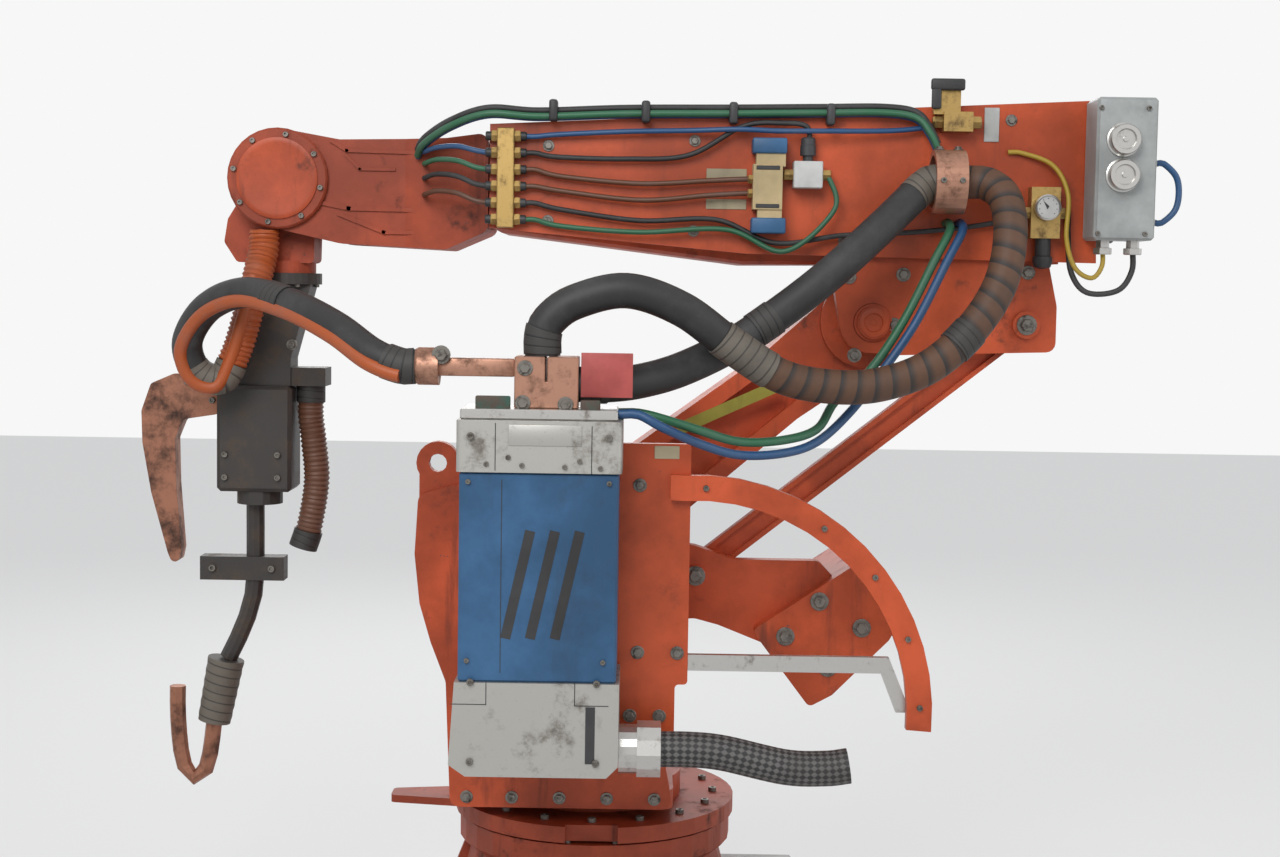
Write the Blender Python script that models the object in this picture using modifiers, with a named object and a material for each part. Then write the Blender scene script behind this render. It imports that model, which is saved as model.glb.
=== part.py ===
"""Six-axis spot-welding robot arm with a parallel-rod drive, a side-mounted transformer and a weld gun.

Metres, +X forward, +Y to the robot's left, +Z up. The origin is the middle of the base's underside, on axis 1.
"""

import math

import bmesh
import bpy
from mathutils import Matrix, Vector

# Kinematics
SHOULDER_X = 0.110
SHOULDER_Z = 0.920
LOWER_ARM_LENGTH = 0.870
LOWER_ARM_LEAN = math.radians(51.6)
CRANK = 0.320
ELBOW_RISE = 0.285
WRIST_REACH = 1.262
FLANGE_DROP = 0.200

# Places that follow from them
ELBOW_X = SHOULDER_X - LOWER_ARM_LENGTH * math.sin(LOWER_ARM_LEAN)
ELBOW_Z = SHOULDER_Z + LOWER_ARM_LENGTH * math.cos(LOWER_ARM_LEAN)
ROD_TOP_X = ELBOW_X - CRANK
ROD_FOOT_X = SHOULDER_X - CRANK
WRIST_X = ELBOW_X + WRIST_REACH
WRIST_Z = ELBOW_Z + ELBOW_RISE
FLANGE_Z = WRIST_Z - FLANGE_DROP

# Clearances
SEAT = 0.0003
RUNNING = 0.006
PIN_PLAY = 0.0008
OVERRUN = 0.01
BITE = 0.004

# Layout across the robot: the planes that the lower arm, rod, lever and cheeks lie in
LOWER_ARM_HALF = 0.095
SHANK_HALF = 0.070
ROD_INNER_Y = 0.105
ROD_OUTER_Y = 0.150
LEVER_INNER_Y = 0.158
LEVER_OUTER_Y = 0.190
CHEEK_INNER_Y = 0.198
CHEEK_OUTER_Y = 0.250
RIGHT_CHEEK_INNER_Y = -0.103
RIGHT_CHEEK_OUTER_Y = -0.165

# Base
FOOT_R = 0.430
FOOT_T = 0.042
PEDESTAL_R = 0.330
PEDESTAL_TOP_R = 0.275
BASE_RIM_R = 0.300
BASE_RIM_T = 0.050
BASE_TOP_Z = 0.365
BEARING_R = 0.240

# Turret
RING_R = 0.308
RING_TOP_Z = 0.405
DRUM_R = 0.190
FLOOR_Z = 0.470
SHAFT_R = 0.050

# Parallel rod and lever
ROD_WIDTH = 0.056
ROD_EYE_R = 0.046
PIN_R = 0.022
LEVER_HUB_R = 0.110

# Upper arm
BEAM_Y = 0.125
BEAM_LEFT_Y = 0.160
PLATE_Y = 0.200
PLATE_T = 0.012
ARM_CHEEK_INNER_Y = 0.158
ARM_CHEEK_OUTER_Y = 0.195
ELBOW_PIN_R = 0.040
WRIST_JOINT_X = 0.240

# Transformer
BRACKET_Y = 0.430
BRACKET_T = 0.020
BOX_REAR_X = -0.056
BOX_FRONT_X = 0.255
BOX_DEPTH = 0.200
BOX_BOTTOM_Z = 0.600
CAP_BOTTOM_H = 0.180
PANEL_H = 0.398
CAP_TOP_H = 0.097

# Weld gun
TIP_X = 0.933
UPPER_TIP_Z = 0.907
LOWER_TIP_Z = 0.625
TIP_R = 0.010

SMOOTH = math.radians(35)
ROUND_STEP = math.radians(22.5)
SIDES = 32
FEW_SIDES = 20
PLAIN_SIDES = 12

ORANGE = (0.72, 0.13, 0.03, 1)
GREY = (0.42, 0.43, 0.42, 1)
DARK = (0.05, 0.05, 0.05, 1)
STEEL = (0.45, 0.44, 0.42, 1)
COPPER = (0.50, 0.24, 0.13, 1)
BLUE = (0.05, 0.15, 0.32, 1)
BEIGE = (0.62, 0.54, 0.38, 1)
RED = (0.7, 0.05, 0.08, 1)
BRASS = (0.55, 0.40, 0.15, 1)

for old in list(bpy.data.objects):
    bpy.data.objects.remove(old)

robot = bpy.data.collections.new("welding_robot")
bpy.context.scene.collection.children.link(robot)


# Solids: each helper leaves one closed mesh object in world coordinates

def remove(obj):
    bpy.data.objects.remove(obj)


def mesh_object(mesh):
    made = bpy.data.objects.new("solid", mesh)
    robot.objects.link(made)
    return made


def evaluated_mesh(obj):
    bpy.context.view_layer.update()
    graph = bpy.context.evaluated_depsgraph_get()
    return bpy.data.meshes.new_from_object(obj.evaluated_get(graph))


def mesh_from(curve_object):
    """The curve as a mesh with welded caps, in world coordinates."""
    mesh = evaluated_mesh(curve_object)
    mesh.transform(curve_object.matrix_world)
    remove(curve_object)
    shape = bmesh.new()
    shape.from_mesh(mesh)
    bmesh.ops.remove_doubles(shape, verts=shape.verts, dist=1e-6)
    bmesh.ops.recalc_face_normals(shape, faces=shape.faces)
    shape.to_mesh(mesh)
    shape.free()
    return mesh_object(mesh)


def box(low, high):
    low, high = Vector(low), Vector(high)
    mesh = bpy.data.meshes.new("box")
    shape = bmesh.new()
    bmesh.ops.create_cube(shape, size=1)
    bmesh.ops.scale(shape, verts=shape.verts, vec=high - low)
    bmesh.ops.translate(shape, verts=shape.verts, vec=(high + low) / 2)
    shape.to_mesh(mesh)
    shape.free()
    return mesh_object(mesh)


def rod_between(start, end, radius, end_radius=None, sides=FEW_SIDES):
    """A round bar, or a cone where the end has a radius of its own."""
    start, end = Vector(start), Vector(end)
    mesh = bpy.data.meshes.new("round")
    shape = bmesh.new()
    end_radius = radius if end_radius is None else end_radius
    length = (end - start).length
    bmesh.ops.create_cone(shape, cap_ends=True, segments=sides, radius1=radius, radius2=end_radius, depth=length)
    turn = (end - start).to_track_quat("Z", "Y").to_matrix().to_4x4()
    bmesh.ops.transform(shape, verts=shape.verts, matrix=Matrix.Translation((start + end) / 2) @ turn)
    shape.to_mesh(mesh)
    shape.free()
    return mesh_object(mesh)


def across(x, z, y_low, y_high, radius, sides=FEW_SIDES):
    """A round bar along Y."""
    return rod_between((x, y_low, z), (x, y_high, z), radius, sides=sides)


def upright(x, y, z_low, z_high, radius, sides=FEW_SIDES):
    """A round bar along Z."""
    return rod_between((x, y, z_low), (x, y, z_high), radius, sides=sides)


def rounded(corners, radius):
    """The outline with each corner made an arc; a corner may bring its own radius as a third number."""
    made = []
    for before, corner, after in zip(corners[-1:] + corners[:-1], corners, corners[1:] + corners[:1]):
        here = Vector(corner[:2])
        to_before = Vector(before[:2]) - here
        to_after = Vector(after[:2]) - here
        wanted = corner[2] if len(corner) > 2 else radius
        half = to_before.angle(to_after) / 2
        if wanted == 0 or half > math.radians(88):
            made.append(tuple(here))
            continue
        reach = min(wanted / math.tan(half), to_before.length / 2, to_after.length / 2)
        arc_r = reach * math.tan(half)
        middle = (to_before.normalized() + to_after.normalized()).normalized()
        centre = here + middle * (arc_r / math.sin(half))
        first = here + to_before.normalized() * reach - centre
        last = here + to_after.normalized() * reach - centre
        begin = math.atan2(first.y, first.x)
        turn = (math.atan2(last.y, last.x) - begin + math.pi) % math.tau - math.pi
        steps = max(1, math.ceil(abs(turn) / ROUND_STEP))
        for step in range(steps + 1):
            angle = begin + turn * step / steps
            made.append((centre.x + arc_r * math.cos(angle), centre.y + arc_r * math.sin(angle)))
    return made


def arc(centre_x, centre_z, radius, begin, end, steps):
    """Points along an arc, with the angles in degrees from +X towards +Z."""
    angles = [math.radians(begin + (end - begin) * step / steps) for step in range(steps + 1)]
    return [(centre_x + radius * math.cos(a), centre_z + radius * math.sin(a)) for a in angles]


def flat(outline, thickness):
    curve = bpy.data.curves.new("outline", "CURVE")
    curve.dimensions = "2D"
    curve.fill_mode = "BOTH"
    curve.extrude = thickness / 2
    spline = curve.splines.new("POLY")
    spline.points.add(len(outline) - 1)
    for point, (x, y) in zip(spline.points, outline):
        point.co = (x, y, 0, 1)
    spline.use_cyclic_u = True
    made = bpy.data.objects.new("outline", curve)
    robot.objects.link(made)
    return made


def side_slab(outline, y_low, y_high, radius=0.0):
    """An outline of (x, z) points, extruded along Y."""
    made = flat(rounded(outline, radius), abs(y_high - y_low))
    made.rotation_euler.x = math.pi / 2
    made.location.y = (y_low + y_high) / 2
    return mesh_from(made)


def plan_slab(outline, z_low, z_high, radius=0.0):
    """An outline of (x, y) points, extruded along Z."""
    made = flat(rounded(outline, radius), z_high - z_low)
    made.location.z = (z_low + z_high) / 2
    return mesh_from(made)


def front_slab(outline, x_low, x_high, radius=0.0):
    """An outline of (y, z) points, extruded along X."""
    made = flat(rounded(outline, radius), x_high - x_low)
    made.rotation_euler = (math.pi / 2, 0, math.pi / 2)
    made.location.x = (x_low + x_high) / 2
    return mesh_from(made)


def turned(profile, x=0, y=0, z=0, sides=SIDES):
    """A solid of revolution about a vertical axis, from (radius, height) points, top to bottom on the outside."""
    mesh = bpy.data.meshes.new("profile")
    points = [(radius, 0, height) for radius, height in profile]
    mesh.from_pydata(points, [(i, i + 1) for i in range(len(points) - 1)], [])
    made = mesh_object(mesh)
    screw = made.modifiers.new("turn", "SCREW")
    screw.steps = sides
    screw.render_steps = sides
    screw.use_merge_vertices = True
    screw.merge_threshold = 0.00001
    bake(made)
    made.data.transform(Matrix.Translation((x, y, z)))
    return made


def tube(points, radius, resolution=2, ring=False):
    curve = bpy.data.curves.new("route", "CURVE")
    curve.dimensions = "3D"
    curve.bevel_depth = radius
    curve.bevel_resolution = resolution
    curve.use_fill_caps = not ring
    spline = curve.splines.new("POLY")
    spline.points.add(len(points) - 1)
    for point, place in zip(spline.points, points):
        point.co = (*place, 1)
    spline.use_cyclic_u = ring
    made = bpy.data.objects.new("route", curve)
    robot.objects.link(made)
    return mesh_from(made)


def smooth_route(points, spacing):
    """Evenly spaced points on a smooth curve through the route's own points."""
    places = [Vector(p) for p in points]
    places = [2 * places[0] - places[1]] + places + [2 * places[-1] - places[-2]]
    fine = []
    for a, b, c, d in zip(places, places[1:], places[2:], places[3:]):
        for step in range(16):
            t = step / 16
            fine.append(0.5 * (2 * b + (c - a) * t + (2 * a - 5 * b + 4 * c - d) * t**2 + (3 * b - a - 3 * c + d) * t**3))
    fine.append(places[-2])
    length = sum((q - p).length for p, q in zip(fine, fine[1:]))
    count = max(2, round(length / spacing))
    made, run, wanted = [fine[0]], 0.0, length / count
    for p, q in zip(fine, fine[1:]):
        span = (q - p).length
        while run + span >= wanted - 1e-9 and len(made) < count:
            made.append(p.lerp(q, (wanted - run) / span))
            wanted += length / count
        run += span
    made.append(fine[-1])
    return made


def bake(obj):
    """Replaces the object's mesh with what its modifiers make of it."""
    mesh = evaluated_mesh(obj)
    obj.modifiers.clear()
    obj.data = mesh


def boolean(target, tools, operation):
    for tool in tools:
        change = target.modifiers.new(operation.lower(), "BOOLEAN")
        change.operation = operation
        change.solver = "EXACT"
        change.object = tool
    bake(target)
    for tool in tools:
        remove(tool)
    return target


def joined(target, *tools):
    return boolean(target, tools, "UNION")


def cut(target, *tools):
    return boolean(target, tools, "DIFFERENCE")


def common(target, *tools):
    return boolean(target, tools, "INTERSECT")


def softened(target, width, segments=1):
    """The solid with its sharp edges bevelled."""
    soft = target.modifiers.new("soft", "BEVEL")
    soft.width = width
    soft.segments = segments
    soft.limit_method = "ANGLE"
    soft.angle_limit = SMOOTH
    bake(target)
    return target


def turned_about(target, x, z, angle):
    """The solid swung about an axis along Y through (x, z); a positive angle lowers its front."""
    here = Matrix.Translation((x, 0, z))
    target.data.transform(here @ Matrix.Rotation(angle, 4, "Y") @ here.inverted())
    return target


def circle(count, radius, begin=0.0):
    """Evenly spaced places on a circle, the first at the given angle."""
    angles = [begin + math.tau * i / count for i in range(count)]
    return [(radius * math.cos(a), radius * math.sin(a)) for a in angles]


materials = {}


def finish(name, colour, roughness, metallic):
    made = bpy.data.materials.new(name)
    made.use_nodes = True
    shader = made.node_tree.nodes["Principled BSDF"]
    shader.inputs["Base Color"].default_value = colour
    shader.inputs["Roughness"].default_value = roughness
    shader.inputs["Metallic"].default_value = metallic
    return made


def body(name, parent, x, y, z):
    """An empty on the axis that the body turns about."""
    empty = bpy.data.objects.new(name, None)
    robot.objects.link(empty)
    empty.location = (x, y, z)
    if parent:
        bpy.context.view_layer.update()
        empty.parent = parent
        empty.matrix_parent_inverse = parent.matrix_world.inverted()
    return empty


def node(name, carrier, solid, colour, roughness=0.5, metallic=0.0):
    """Names the solid, gives it a material of its own and hangs it on its body."""
    solid.name = name
    solid.data.name = name
    solid.data.materials.clear()
    solid.data.materials.append(finish(name, colour, roughness, metallic))
    solid.data.shade_smooth()
    solid.data.set_sharp_from_angle(angle=SMOOTH)
    bpy.context.view_layer.update()
    solid.parent = carrier
    solid.matrix_parent_inverse = carrier.matrix_world.inverted()
    return solid


base = body("base", None, 0, 0, 0)
turret = body("turret", base, 0, 0, BASE_TOP_Z)
lower_arm = body("lower_arm", turret, SHOULDER_X, 0, SHOULDER_Z)
lever = body("lever", turret, SHOULDER_X, 0, SHOULDER_Z)
elbow_shaft = body("elbow_shaft", lower_arm, ELBOW_X, 0, ELBOW_Z)
upper_arm = body("upper_arm", elbow_shaft, ELBOW_X, 0, ELBOW_Z)
rod_pin = body("rod_pin", upper_arm, ROD_TOP_X, 0, ELBOW_Z)
rod = body("rod", rod_pin, ROD_TOP_X, 0, ELBOW_Z)
wrist_roll = body("wrist_roll", upper_arm, WRIST_JOINT_X, 0, WRIST_Z)
wrist_bend = body("wrist_bend", wrist_roll, WRIST_X, 0, WRIST_Z)
tool = body("tool", wrist_bend, WRIST_X, 0, FLANGE_Z)
gun_arm = body("gun_arm", tool, TIP_X, 0, UPPER_TIP_Z)


def build_base():
    """Bolted foot, tapering pedestal and top rim, with the bearing spigot that the turret sits on."""
    rim_low = BASE_TOP_Z - BASE_RIM_T
    waist_z = FOOT_T + FOOT_T
    casting = turned([
        (0, BASE_TOP_Z + RUNNING - SEAT), (BEARING_R, BASE_TOP_Z + RUNNING - SEAT), (BEARING_R, BASE_TOP_Z),
        (BASE_RIM_R, BASE_TOP_Z), (BASE_RIM_R, rim_low), (PEDESTAL_TOP_R, rim_low - FOOT_T / 2),
        (PEDESTAL_R, waist_z), (PEDESTAL_R, FOOT_T), (FOOT_R, FOOT_T), (FOOT_R, 0), (0, 0),
    ])
    bolt_circle_r = (FOOT_R + PEDESTAL_R) / 2
    bolt_hole_r = 0.014
    holes = [upright(x, y, -OVERRUN, FOOT_T + OVERRUN, bolt_hole_r, PLAIN_SIDES) for x, y in circle(8, bolt_circle_r, math.radians(25))]
    rib_t = 0.024
    ribs = []
    for x, y in circle(8, 1, math.radians(3)):
        if x < -0.9:
            continue
        rib = side_slab([
            (PEDESTAL_TOP_R - FOOT_T, BASE_TOP_Z - BASE_RIM_T), (PEDESTAL_TOP_R - FOOT_T, FOOT_T - BITE),
            (FOOT_R - FOOT_T, FOOT_T - BITE), (PEDESTAL_TOP_R + BITE, rim_low),
        ], -rib_t / 2, rib_t / 2)
        rib.data.transform(Matrix.Rotation(math.atan2(y, x), 4, "Z"))
        ribs.append(rib)
    node("base_casting", base, cut(joined(casting, *ribs), *holes), ORANGE, 0.6)

    cable_box_depth = 0.120
    cable_box_half = 0.095
    cable_box_low = FOOT_T + SEAT
    cable_box_high = 0.235
    cable_box = softened(box(
        (-PEDESTAL_R - cable_box_depth, -cable_box_half, cable_box_low),
        (-PEDESTAL_TOP_R, cable_box_half, cable_box_high),
    ), 0.006)
    pedestal = turned([
        (0, BASE_TOP_Z), (PEDESTAL_TOP_R + SEAT, BASE_TOP_Z), (PEDESTAL_TOP_R + SEAT, rim_low - FOOT_T / 2),
        (PEDESTAL_R + SEAT, waist_z), (PEDESTAL_R + SEAT, 0), (0, 0),
    ])
    node("base_cable_box", base, cut(cable_box, pedestal), GREY, 0.6)


def build_turret():
    """Turning ring with its stop lug, drum, two cheeks and the front web between them."""
    ring_low = BASE_TOP_Z + RUNNING
    lug_x = 0.453
    lug_half = 0.060
    lug_t = 0.022
    ring = joined(
        upright(0, 0, ring_low, RING_TOP_Z, RING_R, 48),
        plan_slab([
            (RING_R - OVERRUN * 3, -lug_half), (lug_x, -lug_half / 2), (lug_x, lug_half / 2),
            (RING_R - OVERRUN * 3, lug_half),
        ], ring_low + lug_t / 4, ring_low + lug_t, 0.012),
    )
    notch_half = 0.055
    notch_depth = 0.022
    ring = cut(ring, box((-notch_half, RING_R - notch_depth, ring_low - OVERRUN),
                         (notch_half, RING_R + OVERRUN, RING_TOP_Z + OVERRUN)))
    node("turret_ring", turret, ring, ORANGE, 0.6)

    drum_low = RING_TOP_Z + SEAT
    floor_low = FLOOR_Z - 0.040
    floor_front_x = 0.300
    floor_rear_x = -0.170
    front_top = (0.371, SHOULDER_Z + 0.169)
    cheek = [
        (floor_rear_x, floor_low), (floor_front_x, floor_low), (0.311, 0.696), (0.343, 0.779), (0.367, 0.861),
        (0.378, 0.965), front_top, (0.300, 1.110), (SHOULDER_X, SHOULDER_Z + 0.205, 0.15),
        (-0.060, 1.060, 0.08), (-0.095, SHOULDER_Z), (-0.120, 0.700),
    ]
    left = side_slab(cheek, CHEEK_INNER_Y, CHEEK_OUTER_Y, 0.02)
    right = side_slab(cheek, RIGHT_CHEEK_OUTER_Y, RIGHT_CHEEK_INNER_Y, 0.02)
    floor = plan_slab([
        (floor_rear_x, RIGHT_CHEEK_OUTER_Y), (floor_front_x, RIGHT_CHEEK_OUTER_Y),
        (floor_front_x, CHEEK_OUTER_Y), (floor_rear_x, CHEEK_OUTER_Y),
    ], floor_low, FLOOR_Z, 0.03)
    drum = upright(0, 0, drum_low, FLOOR_Z - OVERRUN, DRUM_R, SIDES)
    web = side_slab([
        (0.240, floor_low + BITE), (floor_front_x - BITE, floor_low + BITE), (0.303, 0.690), (0.318, 0.760), (0.250, 0.760),
    ], RIGHT_CHEEK_INNER_Y - BITE, CHEEK_INNER_Y + BITE)
    eye_x = front_top[0] - 0.039
    eye_z = front_top[1] + 0.066
    eye_r = 0.045
    eye = joined(
        across(eye_x, eye_z, CHEEK_INNER_Y + 0.012, CHEEK_OUTER_Y - 0.012, eye_r, FEW_SIDES),
        box((eye_x - eye_r, CHEEK_INNER_Y + 0.012, front_top[1] - 0.04), (eye_x + eye_r * 0.85, CHEEK_OUTER_Y - 0.012, eye_z)),
    )
    frame = joined(floor, drum, left, right, web, eye)
    window = [(-0.050, 0.560), (0.215, 0.560), (0.235, 0.690), (0.180, 0.745), (-0.050, 0.745)]
    frame = cut(
        frame,
        across(eye_x, eye_z, CHEEK_INNER_Y - OVERRUN, CHEEK_OUTER_Y + OVERRUN, 0.019, PLAIN_SIDES),
        across(SHOULDER_X, SHOULDER_Z, CHEEK_INNER_Y - OVERRUN, CHEEK_OUTER_Y + OVERRUN, SHAFT_R + PIN_PLAY, FEW_SIDES),
        across(SHOULDER_X, SHOULDER_Z, RIGHT_CHEEK_OUTER_Y - OVERRUN, RIGHT_CHEEK_INNER_Y + OVERRUN,
               SHAFT_R + PIN_PLAY, FEW_SIDES),
        side_slab(window, CHEEK_INNER_Y - OVERRUN, CHEEK_OUTER_Y + OVERRUN, 0.03),
        side_slab(window, RIGHT_CHEEK_OUTER_Y - OVERRUN, RIGHT_CHEEK_INNER_Y + OVERRUN, 0.03),
    )
    node("turret_frame", turret, frame, ORANGE, 0.55)

    motor_r = 0.068
    motor_top_z = 0.735
    motor_x = 0.060
    motor = joined(
        upright(motor_x, 0, FLOOR_Z + SEAT, FLOOR_Z + 0.03, motor_r + 0.02),
        upright(motor_x, 0, FLOOR_Z + 0.02, motor_top_z, motor_r),
    )
    node("axis_1_motor", turret, motor, DARK, 0.5, 0.3)

    drive_r = 0.155
    drive_t = 0.090
    drive_motor_r = 0.080
    drive_motor_end = -0.560
    drive = joined(
        across(SHOULDER_X, SHOULDER_Z, RIGHT_CHEEK_OUTER_Y - SEAT - drive_t, RIGHT_CHEEK_OUTER_Y - SEAT, drive_r, SIDES),
        across(SHOULDER_X, SHOULDER_Z, drive_motor_end, RIGHT_CHEEK_OUTER_Y - drive_t, drive_motor_r, FEW_SIDES),
    )
    node("axis_2_drive", turret, drive, ORANGE, 0.5)
    lever_drive_t = 0.075
    lever_drive = joined(
        across(SHOULDER_X, SHOULDER_Z, CHEEK_OUTER_Y + SEAT, CHEEK_OUTER_Y + lever_drive_t, drive_r * 0.85, SIDES),
        across(SHOULDER_X, SHOULDER_Z, CHEEK_OUTER_Y + lever_drive_t - BITE, BRACKET_Y - 0.012, drive_motor_r, FEW_SIDES),
    )
    node("axis_3_drive", turret, lever_drive, ORANGE, 0.5)


def build_lower_arm():
    """Cast arm between the cheeks: two hubs, a waisted shank and a deep pocket on each side."""
    hub_r = 0.135
    elbow_r = 0.100
    waist_half = 0.078
    length = LOWER_ARM_LENGTH
    shank = [
        (0, hub_r - 0.012), (length * 0.30, waist_half + 0.014), (length * 0.72, waist_half), (length, elbow_r - 0.006),
        (length, 0.006 - elbow_r), (length * 0.72, -waist_half), (length * 0.30, -waist_half - 0.014), (0, 0.012 - hub_r),
    ]
    arm = side_slab(shank, -SHANK_HALF, SHANK_HALF)
    pocket = [
        (length * 0.22, waist_half * 0.72), (length * 0.80, waist_half * 0.56),
        (length * 0.80, -waist_half * 0.56), (length * 0.22, -waist_half * 0.72),
    ]
    pocket_depth = 0.042
    pockets = [
        side_slab(pocket, SHANK_HALF - pocket_depth, SHANK_HALF + OVERRUN, 0.035),
        side_slab(pocket, -SHANK_HALF - OVERRUN, pocket_depth - SHANK_HALF, 0.035),
    ]
    arm = cut(arm, *pockets)
    arm = joined(
        arm, across(0, 0, -LOWER_ARM_HALF, LOWER_ARM_HALF, hub_r, SIDES),
        across(length, 0, -LOWER_ARM_HALF, LOWER_ARM_HALF, elbow_r, SIDES),
    )
    shaft_end = RIGHT_CHEEK_OUTER_Y + BITE
    arm = joined(arm, across(0, 0, shaft_end, -LOWER_ARM_HALF + BITE, SHAFT_R, FEW_SIDES))
    arm = cut(arm, across(length, 0, -LOWER_ARM_HALF - OVERRUN, LOWER_ARM_HALF + OVERRUN, ELBOW_PIN_R + PIN_PLAY, FEW_SIDES))
    tilt = Matrix.Rotation(-(math.pi / 2 + LOWER_ARM_LEAN), 4, "Y")
    arm.data.transform(Matrix.Translation((SHOULDER_X, 0, SHOULDER_Z)) @ tilt)
    node("lower_arm_casting", lower_arm, arm, ORANGE, 0.55)

    shaft = joined(
        across(ELBOW_X, ELBOW_Z, -ARM_CHEEK_OUTER_Y - RUNNING, ARM_CHEEK_OUTER_Y + RUNNING, ELBOW_PIN_R, FEW_SIDES),
        across(ELBOW_X, ELBOW_Z, ARM_CHEEK_OUTER_Y + RUNNING - SEAT, ARM_CHEEK_OUTER_Y + RUNNING * 3, ELBOW_PIN_R * 0.85, FEW_SIDES),
    )
    node("elbow_shaft_pin", elbow_shaft, shaft, ORANGE, 0.5)


def build_lever():
    """Plate lever on axis 2 with the rod's lower pin, and the counterweight bolted to its tail."""
    weight = [
        (-0.330, 0.811), (-0.372, 0.756), (-0.453, 0.650), (-0.501, 0.676), (-0.563, 0.739), (-0.618, 0.794),
        (-0.635, 0.824), (-0.601, 0.926), (-0.559, 0.964),
    ]
    plate = [
        (SHOULDER_X, SHOULDER_Z + LEVER_HUB_R), (ROD_FOOT_X, SHOULDER_Z + 0.063), (ROD_FOOT_X - 0.084, 0.955),
        (-0.470, 0.955), (-0.540, 0.880), (-0.400, 0.760), (ROD_FOOT_X - 0.050, 0.815), (ROD_FOOT_X, SHOULDER_Z - 0.092),
        (SHOULDER_X, SHOULDER_Z - LEVER_HUB_R),
    ]
    arm = joined(
        side_slab(plate, LEVER_INNER_Y, LEVER_OUTER_Y, 0.02),
        across(SHOULDER_X, SHOULDER_Z, LEVER_INNER_Y, LEVER_OUTER_Y, LEVER_HUB_R, SIDES),
        across(SHOULDER_X, SHOULDER_Z, LEVER_OUTER_Y - BITE, CHEEK_OUTER_Y - BITE, SHAFT_R, FEW_SIDES),
        across(ROD_FOOT_X, SHOULDER_Z, ROD_INNER_Y, LEVER_OUTER_Y + RUNNING, PIN_R, FEW_SIDES),
    )
    node("lever_arm", lever, arm, ORANGE, 0.55)

    weight_low_y = -0.120
    weight_high_y = 0.230
    block = side_slab(weight, weight_low_y, weight_high_y, 0.012)
    slot = side_slab([
        (SHOULDER_X, SHOULDER_Z + 0.2), (-0.700, SHOULDER_Z + 0.2), (-0.700, 0.600), (SHOULDER_X, 0.600),
    ], LEVER_INNER_Y - SEAT, LEVER_OUTER_Y + SEAT)
    lever_only = side_slab([
        (SHOULDER_X, SHOULDER_Z + LEVER_HUB_R), (ROD_FOOT_X, SHOULDER_Z + 0.063), (ROD_FOOT_X - 0.084, 0.955),
        (-0.470 - SEAT, 0.955 + SEAT), (-0.540 - 2 * SEAT, 0.880), (-0.400, 0.760 - 2 * SEAT),
        (ROD_FOOT_X - 0.050, 0.815 - 2 * SEAT), (ROD_FOOT_X, SHOULDER_Z - 0.092), (SHOULDER_X, SHOULDER_Z - LEVER_HUB_R),
    ], LEVER_INNER_Y - SEAT, LEVER_OUTER_Y + SEAT, 0.02)
    block = cut(block, common(slot, lever_only))
    node("counterweight", lever, block, ORANGE, 0.6)


def build_rod():
    """Flanged parallel rod beside the lower arm, with an eye at each pin."""
    length = LOWER_ARM_LENGTH
    half = ROD_WIDTH / 2
    flange_t = 0.010
    bar = side_slab([(0, half), (length, half), (length, -half), (0, -half)], ROD_INNER_Y + 0.006, ROD_OUTER_Y - 0.006)
    web_gap = 0.012
    groove = [(ROD_EYE_R * 1.4, half - flange_t), (length - ROD_EYE_R * 1.4, half - flange_t),
              (length - ROD_EYE_R * 1.4, flange_t - half), (ROD_EYE_R * 1.4, flange_t - half)]
    bar = cut(
        bar,
        side_slab(groove, ROD_OUTER_Y - 0.006 - web_gap, ROD_OUTER_Y + OVERRUN, 0.01),
        side_slab(groove, ROD_INNER_Y - OVERRUN, ROD_INNER_Y + 0.006 + web_gap, 0.01),
    )
    bar = joined(bar, across(0, 0, ROD_INNER_Y, ROD_OUTER_Y, ROD_EYE_R, FEW_SIDES),
                 across(length, 0, ROD_INNER_Y, ROD_OUTER_Y, ROD_EYE_R, FEW_SIDES))
    bar = cut(bar, *[across(x, 0, ROD_INNER_Y - OVERRUN, ROD_OUTER_Y + OVERRUN, PIN_R + PIN_PLAY, FEW_SIDES)
                     for x in (0, length)])
    bar.data.transform(Matrix.Translation((ROD_FOOT_X, 0, SHOULDER_Z))
                       @ Matrix.Rotation(-(math.pi / 2 + LOWER_ARM_LEAN), 4, "Y"))
    node("parallel_rod", rod, bar, ORANGE, 0.55)

    pin = joined(
        across(ROD_TOP_X, ELBOW_Z, ROD_INNER_Y - RUNNING, ARM_CHEEK_OUTER_Y + RUNNING, PIN_R, FEW_SIDES),
        across(ROD_TOP_X, ELBOW_Z, ARM_CHEEK_OUTER_Y + RUNNING - SEAT, ARM_CHEEK_OUTER_Y + RUNNING * 2, PIN_R * 1.3, FEW_SIDES),
    )
    node("rod_top_pin", rod_pin, pin, ORANGE, 0.5)


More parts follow.
